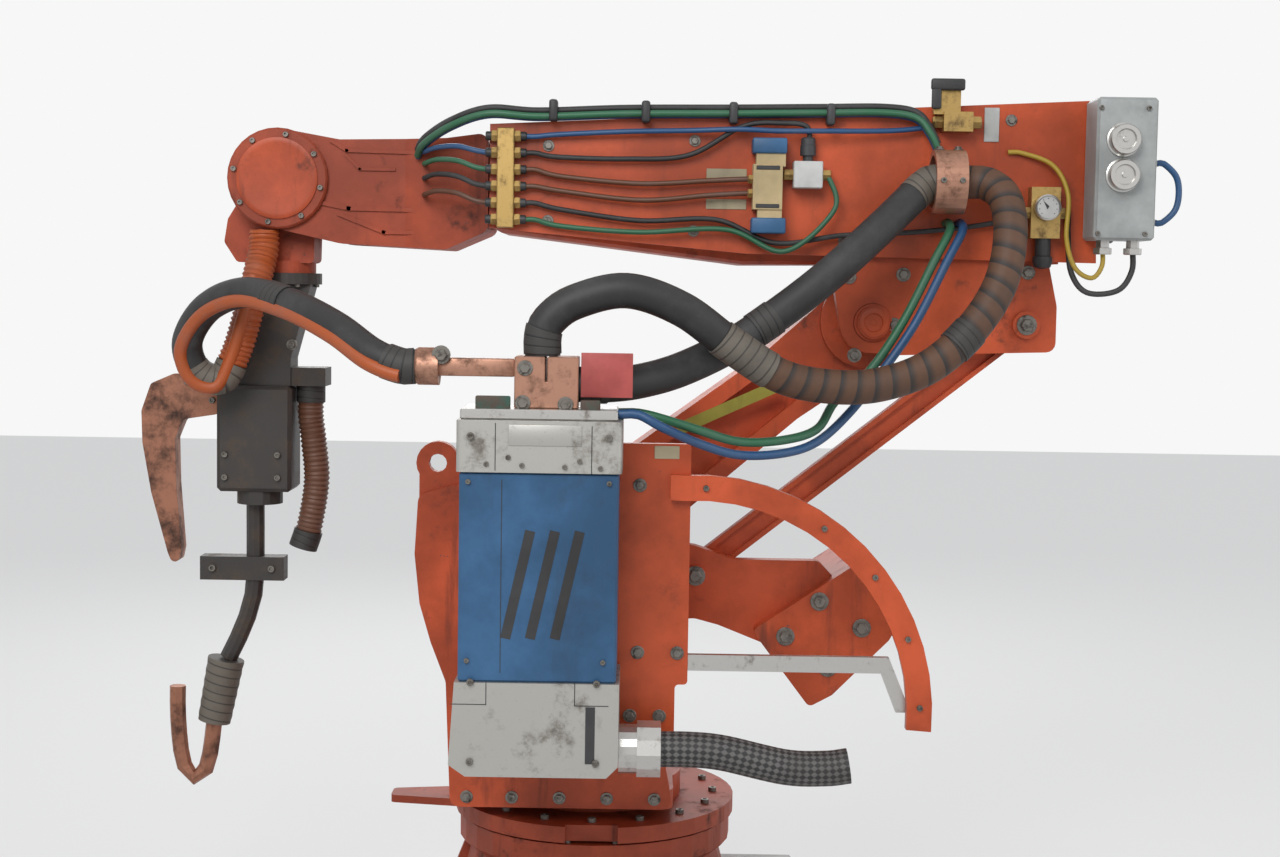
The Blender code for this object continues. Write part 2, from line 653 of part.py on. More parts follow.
def build_upper_arm():
    """Elbow housing, tapering beam, dressed side plate and the wrist motors behind."""
    roof_z = 1.588
    front_x = WRIST_JOINT_X - RUNNING
    rear_x = -0.960
    cheek = [
        (-0.472, roof_z + 0.03), (-0.490, 1.530), (ELBOW_X + 0.060, 1.400, 0.06), (ELBOW_X - 0.060, 1.393, 0.05),
        (ROD_TOP_X, 1.402, 0.05), (-0.956, 1.404, 0.02), (-0.956, 1.500, 0.02), (-0.930, roof_z + 0.03),
    ]
    beam_outline = [
        (rear_x, roof_z), (-0.300, 1.578), (front_x, 1.640), (front_x, 1.845), (rear_x, 1.900),
    ]
    beam = softened(side_slab(beam_outline, -BEAM_Y, BEAM_LEFT_Y), 0.022, 2)
    left = side_slab(cheek, ARM_CHEEK_INNER_Y, ARM_CHEEK_OUTER_Y)
    right = side_slab(cheek, -ARM_CHEEK_OUTER_Y, RIGHT_CHEEK_INNER_Y)
    deck = box((-0.956, -ARM_CHEEK_OUTER_Y, roof_z), (-0.470, ARM_CHEEK_OUTER_Y, roof_z + 0.05))
    pin_block = side_slab([
        (-0.945, roof_z + 0.02), (-0.720, roof_z + 0.02), (-0.800, 1.505), (-0.940, 1.505),
    ], RIGHT_CHEEK_INNER_Y - BITE, ROD_INNER_Y - 2 * RUNNING)
    inner_boss_y = SHANK_HALF + RUNNING + 0.002
    boss = side_slab([
        (ROD_TOP_X - 0.040, 1.540), (ROD_TOP_X - 0.040, 1.440, 0.03), (ROD_TOP_X + 0.040, 1.440, 0.03), (ROD_TOP_X + 0.040, 1.540),
    ], inner_boss_y, ROD_INNER_Y - RUNNING)
    housing = joined(deck, left, right, pin_block, boss)
    housing = cut(
        housing,
        across(ELBOW_X, ELBOW_Z, -ARM_CHEEK_OUTER_Y - OVERRUN, ARM_CHEEK_OUTER_Y + OVERRUN, ELBOW_PIN_R + PIN_PLAY, FEW_SIDES),
        across(ROD_TOP_X, ELBOW_Z, inner_boss_y - OVERRUN, ARM_CHEEK_OUTER_Y + OVERRUN, PIN_R + PIN_PLAY, FEW_SIDES),
    )
    beam = cut(beam, box((rear_x - OVERRUN, -0.3, roof_z - 0.05), (-0.470 + SEAT, 0.3, roof_z + 0.05 + SEAT)))
    node("arm_beam", upper_arm, beam, ORANGE, 0.55)
    node("elbow_housing", upper_arm, housing, ORANGE, 0.55)

    plate = side_slab([
        (-1.031, 1.591), (-0.300, 1.600), (front_x - 0.002, 1.645), (front_x - 0.002, 1.859), (-1.020, 1.926),
    ], PLATE_Y, PLATE_Y + PLATE_T)
    lip_t = 0.010
    lip = side_slab([(-1.020, 1.926), (-1.020, 1.926 - lip_t), (front_x - 0.002, 1.859 - lip_t), (front_x - 0.002, 1.859)],
                    BEAM_LEFT_Y + 0.001, PLATE_Y + BITE)
    spacers = [
        box((x, BEAM_LEFT_Y + SEAT, z - 0.02), (x + 0.05, PLATE_Y + BITE, z + 0.02))
        for x, z in ((0.15, 1.75), (-0.35, 1.72), (-0.90, 1.75))
    ]
    node("dress_plate", upper_arm, joined(plate, lip, *spacers), ORANGE, 0.5)

    motor_r = 0.052
    motor_end_x = rear_x - 0.150
    for index, (y, z) in enumerate(((-0.065, 1.820), (0.080, 1.820), (0.010, 1.690))):
        motor = joined(
            rod_between((rear_x - SEAT, y, z), (rear_x - 0.03, y, z), motor_r + 0.008, sides=FEW_SIDES),
            rod_between((rear_x - 0.02, y, z), (motor_end_x, y, z), motor_r, sides=FEW_SIDES),
        )
        node(f"axis_{4 + index}_motor", upper_arm, motor, DARK, 0.5, 0.3)


def build_wrist():
    """Forked roll housing with its round cover, and the tilt housing that carries the tool flange."""
    cover_r = 0.107
    fork_outer_y = 0.108
    fork_inner_y = 0.056
    throat_x = 0.505
    outline = [
        (WRIST_JOINT_X, 1.640), (0.330, 1.600), (0.560, 1.610), (WRIST_X, WRIST_Z - cover_r), (WRIST_X, WRIST_Z + cover_r),
        (0.560, 1.830), (0.330, 1.835), (WRIST_JOINT_X, 1.846),
    ]
    plan = [
        (WRIST_JOINT_X, -0.120), (0.420, -fork_outer_y), (WRIST_X + cover_r + OVERRUN, -fork_outer_y),
        (WRIST_X + cover_r + OVERRUN, fork_outer_y), (0.420, fork_outer_y), (WRIST_JOINT_X, 0.150),
    ]
    housing = common(side_slab(outline, -0.2, 0.2, 0.02), plan_slab(plan, 1.4, 2.0))
    housing = joined(housing, across(WRIST_X, WRIST_Z, -fork_outer_y, fork_outer_y, cover_r - 0.002, SIDES))
    housing = joined(housing, rod_between((WRIST_JOINT_X - RUNNING + SEAT, 0, WRIST_Z), (WRIST_JOINT_X + OVERRUN, 0, WRIST_Z), 0.085))
    housing = cut(housing, box((throat_x, -fork_inner_y, 1.4), (WRIST_X + cover_r + 2 * OVERRUN, fork_inner_y, 2.0)))
    node("wrist_housing", wrist_roll, housing, ORANGE, 0.5)

    cover_t = 0.014
    cover = softened(across(WRIST_X, WRIST_Z, fork_outer_y + SEAT, fork_outer_y + cover_t, cover_r, SIDES), 0.004)
    node("wrist_cover", wrist_roll, cover, ORANGE, 0.45)

    tilt_half = fork_inner_y - RUNNING
    flange_t = 0.022
    neck = [
        (WRIST_X - 0.070, WRIST_Z - 0.02), (WRIST_X - 0.066, FLANGE_Z + flange_t), (WRIST_X + 0.100, FLANGE_Z + flange_t),
        (WRIST_X + 0.128, WRIST_Z - 0.135), (WRIST_X + 0.120, WRIST_Z - 0.085), (WRIST_X + 0.080, WRIST_Z - 0.02),
    ]
    tilt = joined(
        side_slab(neck, -tilt_half, tilt_half, 0.01),
        across(WRIST_X, WRIST_Z, -tilt_half, tilt_half, 0.095, SIDES),
        upright(WRIST_X, 0, FLANGE_Z + SEAT, FLANGE_Z + flange_t + BITE, 0.062, SIDES),
    )
    tilt = joined(tilt, across(WRIST_X, WRIST_Z, -fork_inner_y + SEAT, fork_inner_y - SEAT, 0.040, FEW_SIDES))
    node("tilt_housing", wrist_bend, tilt, ORANGE, 0.5)


def build_gun():
    """Weld gun: flange plate, bracket, cylinder body, curved lower arm with its electrode, and the sliding upper arm."""
    plate_t = 0.024
    plate_r = 0.075
    bracket_half = 0.045
    bracket_rear_x = 0.675
    body_low = 1.068
    body_high = 1.300
    plate = joined(
        upright(WRIST_X, 0, FLANGE_Z - plate_t, FLANGE_Z, plate_r, SIDES),
        side_slab([
            (WRIST_X - 0.060, FLANGE_Z - plate_t + BITE), (bracket_rear_x, body_high + 0.06),
            (bracket_rear_x, body_high + SEAT), (WRIST_X + 0.120, body_high + SEAT),
            (WRIST_X + 0.060, FLANGE_Z - plate_t + BITE),
        ], -bracket_half, bracket_half, 0.0),
    )
    node("gun_bracket", tool, plate, DARK, 0.5, 0.4)

    body_half = 0.060
    cylinder = joined(
        softened(box((0.671, -body_half, body_low), (0.834, body_half, body_high)), 0.008),
        upright(0.750, 0, body_low - 0.030, body_low + BITE, 0.050),
    )
    node("gun_cylinder", tool, cylinder, DARK, 0.5, 0.4)

    shaft_x = 0.760
    shaft_r = 0.020
    route = [
        (shaft_x, 0, body_low - 0.030 - SEAT), (shaft_x, 0, 0.970), (shaft_x + 0.002, 0, 0.851),
        (0.783, 0, 0.770), (0.820, 0, 0.690),
    ]
    arm = tube(smooth_route(route, 0.05), shaft_r, 3)
    cross_bar = box((0.693, -0.024, 0.868), (0.878, 0.024, 0.920))
    node("gun_lower_arm", tool, joined(arm, cross_bar), DARK, 0.5, 0.5)
    sleeve = rod_between((0.8245, 0, 0.688), (0.852, 0, 0.547), 0.040, 0.036)
    slot = tube(smooth_route(route, 0.05), shaft_r + SEAT, 3)
    node("gun_sleeve", tool, cut(sleeve, slot), GREY, 0.6)
    electrode = tube(smooth_route([
        (0.8522, 0, 0.5455), (0.862, 0, 0.470), (0.880, 0, 0.422), (0.908, 0, 0.425), (0.925, 0, 0.470), (TIP_X, 0, 0.560),
        (TIP_X, 0, LOWER_TIP_Z),
    ], 0.035), 0.018, 2)
    node("lower_electrode", tool, electrode, COPPER, 0.45, 0.8)

    corrugated = tube(smooth_route([
        (0.638, 0, body_high - SEAT), (0.638, 0, 1.270), (0.638, 0, 1.230), (0.632, 0, 1.180), (0.625, 0, 1.090), (0.640, 0, 0.990), (0.655, 0, 0.940),
    ], 0.06), 0.030, 2)
    cuff = box((0.600, -0.040, body_high), (bracket_rear_x - SEAT, 0.040, body_high + 0.040))
    node("gun_cable", tool, corrugated, GREY, 0.6)
    node("gun_cable_clamp", tool, cuff, DARK, 0.5, 0.4)

    horn = [
        (0.834 + SEAT, 1.235), (0.834 + SEAT, 1.290), (0.870, 1.320), (0.935, 1.322), (0.985, 1.300), (1.006, 1.240), (1.004, 1.170), (0.985, 1.060),
        (TIP_X + 0.016, UPPER_TIP_Z + 0.020), (TIP_X + 0.008, UPPER_TIP_Z), (TIP_X - 0.008, UPPER_TIP_Z),
        (TIP_X - 0.014, UPPER_TIP_Z + 0.030), (0.930, 1.080), (0.932, 1.180), (0.915, 1.222),
    ]
    upper = softened(side_slab(horn, -0.024, 0.024, 0.012), 0.006)
    node("upper_electrode", gun_arm, upper, COPPER, 0.45, 0.8)


def build_transformer():
    """Bracket plate on the left cheek, the transformer with its caps, and the terminal block on top."""
    panel_low = BOX_BOTTOM_Z + CAP_BOTTOM_H
    panel_high = panel_low + PANEL_H
    top_z = panel_high + CAP_TOP_H
    near_y = BRACKET_Y + BRACKET_T + SEAT
    far_y = near_y + BOX_DEPTH
    plate = side_slab([
        (-0.190, 1.220), (-0.190, 0.740), (-0.165, 0.740), (-0.165, 0.600), (0.230, 0.600), (0.230, 1.220),
    ], BRACKET_Y, BRACKET_Y + BRACKET_T, 0.008)
    arms = [
        box((0.160, CHEEK_OUTER_Y + SEAT, 0.620), (0.220, BRACKET_Y + BITE, 0.690)),
        box((-0.085, CHEEK_OUTER_Y + SEAT, 0.620), (-0.030, BRACKET_Y + BITE, 0.690)),
        box((0.250 - 0.060, CHEEK_OUTER_Y + SEAT, 1.040), (0.226, BRACKET_Y + BITE, 1.085)),
    ]
    node("transformer_bracket", turret, joined(plate, *arms), ORANGE, 0.5)

    inset = 0.006
    core = box((BOX_REAR_X + inset, near_y, panel_low + SEAT), (BOX_FRONT_X - inset, far_y - inset, panel_high - SEAT))
    node("transformer_body", turret, softened(core, 0.004), BLUE, 0.5)
    chamfer = 0.022
    top = plan_slab([
        (BOX_REAR_X, near_y), (BOX_FRONT_X, near_y), (BOX_FRONT_X, far_y), (BOX_REAR_X, far_y),
    ], panel_high, top_z, chamfer / 2)
    bottom = side_slab([
        (BOX_REAR_X, panel_low), (BOX_FRONT_X, panel_low), (BOX_FRONT_X + 0.010, BOX_BOTTOM_Z + chamfer),
        (BOX_FRONT_X - chamfer, BOX_BOTTOM_Z), (BOX_REAR_X + chamfer, BOX_BOTTOM_Z), (BOX_REAR_X, BOX_BOTTOM_Z + chamfer),
    ], near_y, far_y)
    node("transformer_top_cap", turret, top, GREY, 0.55, 0.6)
    node("transformer_bottom_cap", turret, bottom, GREY, 0.55, 0.6)

    deck_t = 0.020
    deck = box((-0.046, near_y + 0.02, top_z + SEAT), (0.250, far_y - 0.02, top_z + deck_t))
    node("terminal_deck", turret, softened(deck, 0.003), DARK, 0.5, 0.5)
    block_low = top_z + deck_t + SEAT
    block = box((0.030, near_y + 0.055, block_low), (0.151, far_y - 0.055, 1.393))
    block = cut(block, box((0.089, near_y, 1.345), (0.093, far_y, 1.400)))
    node("terminal_block", turret, softened(block, 0.002), COPPER, 0.5, 0.7)

    gland_z = 0.634
    gland_x = BOX_REAR_X - SEAT
    gland_y = near_y + BOX_DEPTH / 2
    gland_r = 0.056
    gland = joined(
        rod_between((gland_x, gland_y, gland_z), (gland_x - 0.04, gland_y, gland_z), gland_r * 0.85, sides=FEW_SIDES),
        rod_between((gland_x - 0.035, gland_y, gland_z), (gland_x - 0.081, gland_y, gland_z), gland_r, sides=12),
    )
    node("cable_gland", turret, gland, STEEL, 0.35, 0.9)
    sleeve = tube(smooth_route([
        (gland_x - 0.081 - SEAT, gland_y, gland_z), (gland_x - 0.140, gland_y, gland_z), (-0.260, gland_y, 0.628), (-0.380, gland_y - 0.010, 0.600),
        (-0.460, gland_y - 0.015, 0.597), (-0.505, gland_y - 0.015, 0.603),
    ], 0.06), 0.035, 2)
    node("primary_cable", turret, sleeve, DARK, 0.6)

    arc_x = -0.204
    arc_z = 0.690
    arc_r = 0.446
    arc_half = 0.025
    arc_near = BRACKET_Y + BRACKET_T + SEAT
    arc_t = 0.022
    outer = arc(arc_x, arc_z, arc_r + arc_half, 86, 184, 14)
    inner = arc(arc_x, arc_z, arc_r - arc_half, 184, 86, 14)
    guide = side_slab([(-0.150, arc_z + arc_r + arc_half), *outer, *inner, (-0.150, arc_z + arc_r - arc_half)],
                      arc_near, arc_near + arc_t)
    node("cable_guide_arc", turret, guide, ORANGE, 0.5)
    strut = side_slab([
        (-0.166, 0.800), (-0.590, 0.800), (-0.636, 0.690), (-0.606, 0.690), (-0.575, 0.768), (-0.166, 0.768),
    ], BRACKET_Y + 0.002, BRACKET_Y + BRACKET_T - SEAT - 0.002)
    strut = cut(strut, box((-0.190 - SEAT, 0.4, 0.7), (0, 0.5, 0.9)))
    node("guide_strut", turret, strut, STEEL, 0.5, 0.6)


def build_arm_dress():
    """Valves, clamp ring, junction box and gauges on the dressed side plate."""
    face_y = PLATE_Y + PLATE_T + SEAT
    node("hose_manifold", upper_arm, softened(box((0.180, face_y, 1.645), (0.215, face_y + 0.030, 1.850)), 0.002), BRASS, 0.5, 0.6)
    valve = joined(
        box((-0.372, face_y, 1.690), (-0.312, face_y + 0.050, 1.782)),
        box((-0.378, face_y + 0.004, 1.778), (-0.318, face_y + 0.046, 1.832)),
        box((-0.372, face_y + 0.004, 1.645), (-0.322, face_y + 0.046, 1.694)),
    )
    node("air_valve", upper_arm, valve, BEIGE, 0.5)
    node("flow_valve", upper_arm, softened(box((-0.455, face_y, 1.735), (-0.395, face_y + 0.045, 1.790)), 0.002), GREY, 0.4)
    ring_x, ring_y, ring_z = -0.707, 0.286, 1.750
    ring_r = 0.065
    ring_half = 0.032
    ring = joined(
        rod_between((ring_x - ring_half, ring_y, ring_z), (ring_x + ring_half, ring_y, ring_z), ring_r, sides=SIDES),
        box((ring_x - ring_half * 0.8, face_y, ring_z - 0.025), (ring_x + ring_half * 0.8, ring_y - ring_r + 0.012, ring_z + 0.025)),
    )
    ring = cut(ring, rod_between((ring_x - 0.1, ring_y, ring_z), (ring_x + 0.1, ring_y, ring_z), ring_r - 0.012, sides=SIDES))
    node("cable_ring", upper_arm, ring, COPPER, 0.5, 0.6)
    regulator = joined(
        box((-0.945, face_y, 1.640), (-0.885, face_y + 0.040, 1.745)),
        rod_between((-0.918, face_y + 0.036, 1.703), (-0.918, face_y + 0.062, 1.703), 0.024, sides=FEW_SIDES),
    )
    node("pressure_regulator", upper_arm, regulator, BRASS, 0.5, 0.5)
    ball_valve = joined(
        box((-0.760, face_y, 1.855), (-0.700, face_y + 0.045, 1.895)),
        box((-0.735, face_y + 0.010, 1.890), (-0.680, face_y + 0.035, 1.955)),
    )
    node("ball_valve", upper_arm, ball_valve, BRASS, 0.5, 0.5)
    junction = softened(box((-1.123, face_y, 1.637), (-1.000, face_y + 0.105, 1.924)), 0.006)
    node("junction_box", upper_arm, junction, GREY, 0.5)


def build_hoses():
    """Heavy cables from the terminal block to the clamp ring and to the gun."""
    loop = tube(smooth_route([
        (0.070, 0.550, 1.3935), (0.070, 0.550, 1.430), (0.068, 0.550, 1.470), (0.030, 0.553, 1.505), (-0.080, 0.530, 1.500), (-0.210, 0.470, 1.455), (-0.340, 0.430, 1.370),
        (-0.480, 0.420, 1.310), (-0.590, 0.420, 1.320), (-0.700, 0.400, 1.370), (-0.790, 0.380, 1.480), (-0.820, 0.350, 1.600),
        (-0.800, 0.310, 1.700), (-0.770, 0.290, 1.740), (-0.7395, 0.286, 1.750),
    ], 0.075), 0.034, 2)
    node("weld_cable_loop", turret, loop, DARK, 0.6)


build_base()
build_turret()
build_lower_arm()
build_lever()
build_rod()
build_upper_arm()
build_wrist()
build_gun()
build_transformer()
build_arm_dress()
build_hoses()
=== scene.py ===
import math

import bmesh
import bpy
from mathutils import Matrix, Vector


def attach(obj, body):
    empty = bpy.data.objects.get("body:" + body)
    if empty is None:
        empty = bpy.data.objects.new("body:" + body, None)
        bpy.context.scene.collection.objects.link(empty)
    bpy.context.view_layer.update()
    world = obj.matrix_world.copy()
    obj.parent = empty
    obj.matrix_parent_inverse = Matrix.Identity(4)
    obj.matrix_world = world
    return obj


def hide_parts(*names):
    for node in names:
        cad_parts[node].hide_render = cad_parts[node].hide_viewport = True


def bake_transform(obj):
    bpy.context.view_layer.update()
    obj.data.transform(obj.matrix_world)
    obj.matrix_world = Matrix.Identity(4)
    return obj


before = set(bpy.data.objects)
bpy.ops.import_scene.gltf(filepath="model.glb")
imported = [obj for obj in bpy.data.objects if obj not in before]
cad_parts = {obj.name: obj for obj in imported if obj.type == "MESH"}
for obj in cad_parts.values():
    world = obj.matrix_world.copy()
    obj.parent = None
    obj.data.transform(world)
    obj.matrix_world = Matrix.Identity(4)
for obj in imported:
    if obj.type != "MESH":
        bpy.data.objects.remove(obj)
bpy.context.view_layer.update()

# The viewpoint: a camera on the robot's left side, 4.18 m from the arm's centre plane, a little above
# the arm's middle and tipped down and sideways as in the photograph, so the arm points left.
photo_width = 1280
horizon_row = 287
focal_px = 1900
sensor_mm = 36
camera_place = (-0.088, 4.18, 1.53)
camera_pitch = math.radians(4.3)
camera_roll = math.radians(0.9)

camera_data = bpy.data.cameras.new("photo_camera")
camera_data.sensor_width = sensor_mm
camera_data.lens = sensor_mm * focal_px / photo_width
camera = bpy.data.objects.new("photo_camera", camera_data)
camera.matrix_world = (
    Matrix.Translation(camera_place)
    @ Matrix.Rotation(math.pi, 4, "Z")
    @ Matrix.Rotation(math.pi / 2 - camera_pitch, 4, "X")
    @ Matrix.Rotation(camera_roll, 4, "Z")
)
bpy.context.scene.collection.objects.link(camera)
bpy.context.scene.camera = camera
bpy.context.scene.view_settings.view_transform = "Standard"

# The studio: three large soft lamps and a pale world, which turn white only for the camera and in
# reflections, over a floor that keeps the robot's shadow.
lamps = (
    ("key_lamp", (1.2, 4.2, 4.0), 2.4, 150),
    ("fill_lamp", (-4.0, 2.4, 2.6), 3.5, 46),
    ("back_lamp", (0.5, -4.0, 3.8), 3.0, 90),
)
for lamp_name, lamp_place, lamp_side, lamp_watts in lamps:
    lamp_data = bpy.data.lights.new(lamp_name, "AREA")
    lamp_data.size = lamp_side
    lamp_data.energy = lamp_watts
    lamp = bpy.data.objects.new(lamp_name, lamp_data)
    lamp.location = lamp_place
    lamp.rotation_euler = (Vector((0, 0, 1.0)) - Vector(lamp_place)).to_track_quat("-Z", "Y").to_euler()
    bpy.context.scene.collection.objects.link(lamp)


class Wire:
    """A shader socket that takes part in arithmetic and grows other nodes."""

    def __init__(self, tree, socket=None):
        self.tree = tree
        self.socket = socket

    def grow(self, kind, settings=None, output=0, **inputs):
        """A node of this type: its settings first, then its sockets, where _0 means the first one."""
        made = self.tree.nodes.new(kind)
        for name, value in (settings or {}).items():
            setattr(made, name, value)
        for name, value in inputs.items():
            spot = int(name[1:]) if name[1:].isdigit() else name.replace("_", " ")
            socket = made.inputs[spot]
            if isinstance(value, Wire):
                self.tree.links.new(value.socket, socket)
            else:
                socket.default_value = value
        return Wire(self.tree, made.outputs[output])

    def maths(self, operation, *values):
        return self.grow("ShaderNodeMath", {"operation": operation},
            **{f"_{i}": v for i, v in enumerate(values)})

    def __add__(self, other): return self.maths("ADD", self, other)
    def __radd__(self, other): return self.maths("ADD", other, self)
    def __sub__(self, other): return self.maths("SUBTRACT", self, other)
    def __rsub__(self, other): return self.maths("SUBTRACT", other, self)
    def __mul__(self, other): return self.maths("MULTIPLY", self, other)
    def __rmul__(self, other): return self.maths("MULTIPLY", other, self)
    def __truediv__(self, other): return self.maths("DIVIDE", self, other)

    def between(self, low, high):
        """0 below low, 1 above high, smooth between them."""
        return self.grow("ShaderNodeMapRange", {"interpolation_type": "SMOOTHSTEP"}, _0=self, _1=low,
            _2=high, _3=0.0, _4=1.0)

    def noise(self, scale, detail=4.0, rough=0.55, stretch=(1, 1, 1)):
        """Cloudy noise on the object's own coordinates, 0 to 1, with this many clouds to the metre."""
        place = self.grow("ShaderNodeTexCoord", output=3)
        place = self.grow("ShaderNodeMapping", Vector=place, Scale=stretch)
        return self.grow("ShaderNodeTexNoise", Vector=place, Scale=scale, Detail=detail, Roughness=rough)

    def mix(self, mask, low, high):
        """low where the mask is 0 and high where it is 1, as colours."""
        return self.grow("ShaderNodeMix", {"data_type": "RGBA"}, output=2, _0=mask, _6=low, _7=high)

    def bump(self, height, strength, distance):
        return self.grow("ShaderNodeBump", Strength=strength, Distance=distance, Height=height)


def new_material(name):
    """A material with one Principled shader, that shader's inputs and a wire to grow nodes from."""
    made = bpy.data.materials.new(name)
    made.use_nodes = True
    shader = made.node_tree.nodes["Principled BSDF"]
    return made, shader.inputs, Wire(made.node_tree)


def plug(socket, value):
    if isinstance(value, Wire):
        value.tree.links.new(value.socket, socket)
    else:
        socket.default_value = value


def white_for_camera(tree, shader_out, surface_in, shade):
    """Shows plain white to the camera and in reflections, keeping the shade of shader_out as a light."""
    wire = Wire(tree)
    path = tree.nodes.new("ShaderNodeLightPath")
    seen = Wire(tree, path.outputs["Is Camera Ray"])
    glossy = Wire(tree, path.outputs["Is Glossy Ray"])
    through = Wire(tree, path.outputs["Is Transmission Ray"])
    any_ray = wire.maths("MAXIMUM", seen, wire.maths("MAXIMUM", glossy, through))
    white = tree.nodes.new("ShaderNodeEmission" if shade == "floor" else "ShaderNodeBackground")
    white.inputs["Color"].default_value = (0.93, 0.93, 0.93, 1)
    mix = tree.nodes.new("ShaderNodeMixShader")
    factor = any_ray * 0.55 if shade == "floor" else any_ray
    tree.links.new(factor.socket, mix.inputs[0])
    tree.links.new(shader_out, mix.inputs[1])
    tree.links.new(white.outputs[0], mix.inputs[2])
    tree.links.new(mix.outputs[0], surface_in)


world = bpy.data.worlds.new("studio")
world.use_nodes = True
bpy.context.scene.world = world
world_tree = world.node_tree
sky = world_tree.nodes["Background"]
sky.inputs["Color"].default_value = (0.80, 0.84, 0.90, 1)
sky.inputs["Strength"].default_value = 0.34
white_for_camera(world_tree, sky.outputs[0], world_tree.nodes["World Output"].inputs["Surface"], "sky")

floor_half = 14.0
floor_drop = 0.0004
floor_mesh = bpy.data.meshes.new("floor")
shape = bmesh.new()
bmesh.ops.create_grid(shape, x_segments=1, y_segments=1, size=floor_half)
bmesh.ops.translate(shape, verts=shape.verts, vec=(0, 0, -floor_drop))
shape.to_mesh(floor_mesh)
shape.free()
floor = bpy.data.objects.new("studio_floor", floor_mesh)
bpy.context.scene.collection.objects.link(floor)
floor_finish, floor_in, _ = new_material("studio_floor")
floor_in["Base Color"].default_value = (0.80, 0.80, 0.79, 1)
floor_in["Roughness"].default_value = 0.8
floor_tree = floor_finish.node_tree
white_for_camera(floor_tree, floor_tree.nodes["Principled BSDF"].outputs[0],
    floor_tree.nodes["Material Output"].inputs["Surface"], "floor")
floor_mesh.materials.append(floor_finish)

# Painted castings: orange enamel over cast iron, dulled by weld smoke and oily dirt in patches and in
# streaks, with chips down to the dark metal and paler rubbed patches.
def worn_paint(name, colour, grime=0.5, chips=0.5, rough=0.46, casting=True):
    """Enamel of this colour, with grime and chips from 0, clean, to 1, filthy."""
    made, shader, wire = new_material(name)
    deep = tuple(c * 0.62 for c in colour[:3]) + (1,)
    pale = tuple(min(1, c * 1.12 + 0.012) for c in colour[:3]) + (1,)
    soot = (0.020, 0.014, 0.011, 1)
    bare_iron = (0.055, 0.045, 0.040, 1)
    clouds = wire.noise(3.5, 6, 0.62)
    paint = wire.mix(clouds.between(0.35, 0.68), deep, pale)
    patches = wire.noise(9, 9, 0.7).between(0.56, 0.74)
    streaks = wire.noise(14, 7, 0.65, (1, 1, 0.13)).between(0.55, 0.72)
    fine = wire.noise(120, 5, 0.75)
    dirt = wire.maths("MAXIMUM", patches, streaks * 0.7) * grime
    dirt = wire.maths("MINIMUM", dirt + fine.between(0.62, 0.8) * (0.35 * grime), 1.0)
    paint = wire.mix(dirt, paint, soot)
    chipped = wire.noise(46, 10, 0.72).between(0.66 - 0.03 * chips, 0.69 - 0.03 * chips)
    chipped = chipped * wire.noise(6, 3).between(0.52, 0.62)
    plug(shader["Base Color"], wire.mix(chipped, paint, bare_iron))
    plug(shader["Roughness"], rough + dirt * 0.3 + (clouds - 0.5) * 0.12)
    grain = wire.noise(260 if casting else 520, 3, 0.6)
    relief = grain * (0.5 if casting else 0.2) - chipped * 0.8
    plug(shader["Normal"], wire.bump(relief, 0.35, 0.0012))
    shader["Specular IOR Level"].default_value = 0.45
    return made


def dress(material, *nodes):
    for name in nodes:
        mesh = bpy.data.objects[name].data
        mesh.materials.clear()
        mesh.materials.append(material)


orange = (0.56, 0.078, 0.016, 1)
dirty_orange = worn_paint("dirty_orange_enamel", orange, 0.85, 0.8)
clean_orange = worn_paint("orange_enamel", orange, 0.45, 0.5, 0.40, casting=False)
filthy_orange = worn_paint("sooty_orange_enamel", (0.40, 0.056, 0.014, 1), 1.0, 1.0, 0.55)
dress(dirty_orange, "turret_frame", "lower_arm_casting", "lever_arm", "parallel_rod", "elbow_housing",
    "rod_top_pin", "elbow_shaft_pin", "axis_2_drive", "axis_3_drive", "counterweight", "arm_beam")
dress(filthy_orange, "base_casting", "turret_ring", "wrist_housing", "tilt_housing", "wrist_cover")
dress(clean_orange, "dress_plate", "transformer_bracket", "cable_guide_arc")

# Bare and plated metals: cast aluminium caps stained by water, tarnished copper of the welding circuit,
# dull brass of the hose fittings, zinc-plated steel, and the gun's dark oily steel.
def worn_metal(name, colour, tarnish, rough=0.4, spread=0.5, metallic=1.0, scale=10):
    """Metal of this colour with tarnish of another in patches and fine scratches."""
    made, shader, wire = new_material(name)
    blotch = wire.noise(scale, 8, 0.7).between(0.62 - 0.25 * spread, 0.72)
    speck = wire.noise(scale * 14, 6, 0.7).between(0.58, 0.75)
    worn = wire.maths("MINIMUM", blotch + speck * 0.5, 1.0)
    plug(shader["Base Color"], wire.mix(worn, colour, tarnish))
    plug(shader["Roughness"], rough + worn * 0.3)
    shader["Metallic"].default_value = metallic
    scratch = wire.noise(300, 2, 0.5, (1, 1, 0.08))
    plug(shader["Normal"], wire.bump(scratch * 0.5 + worn, 0.2, 0.0006))
    return made


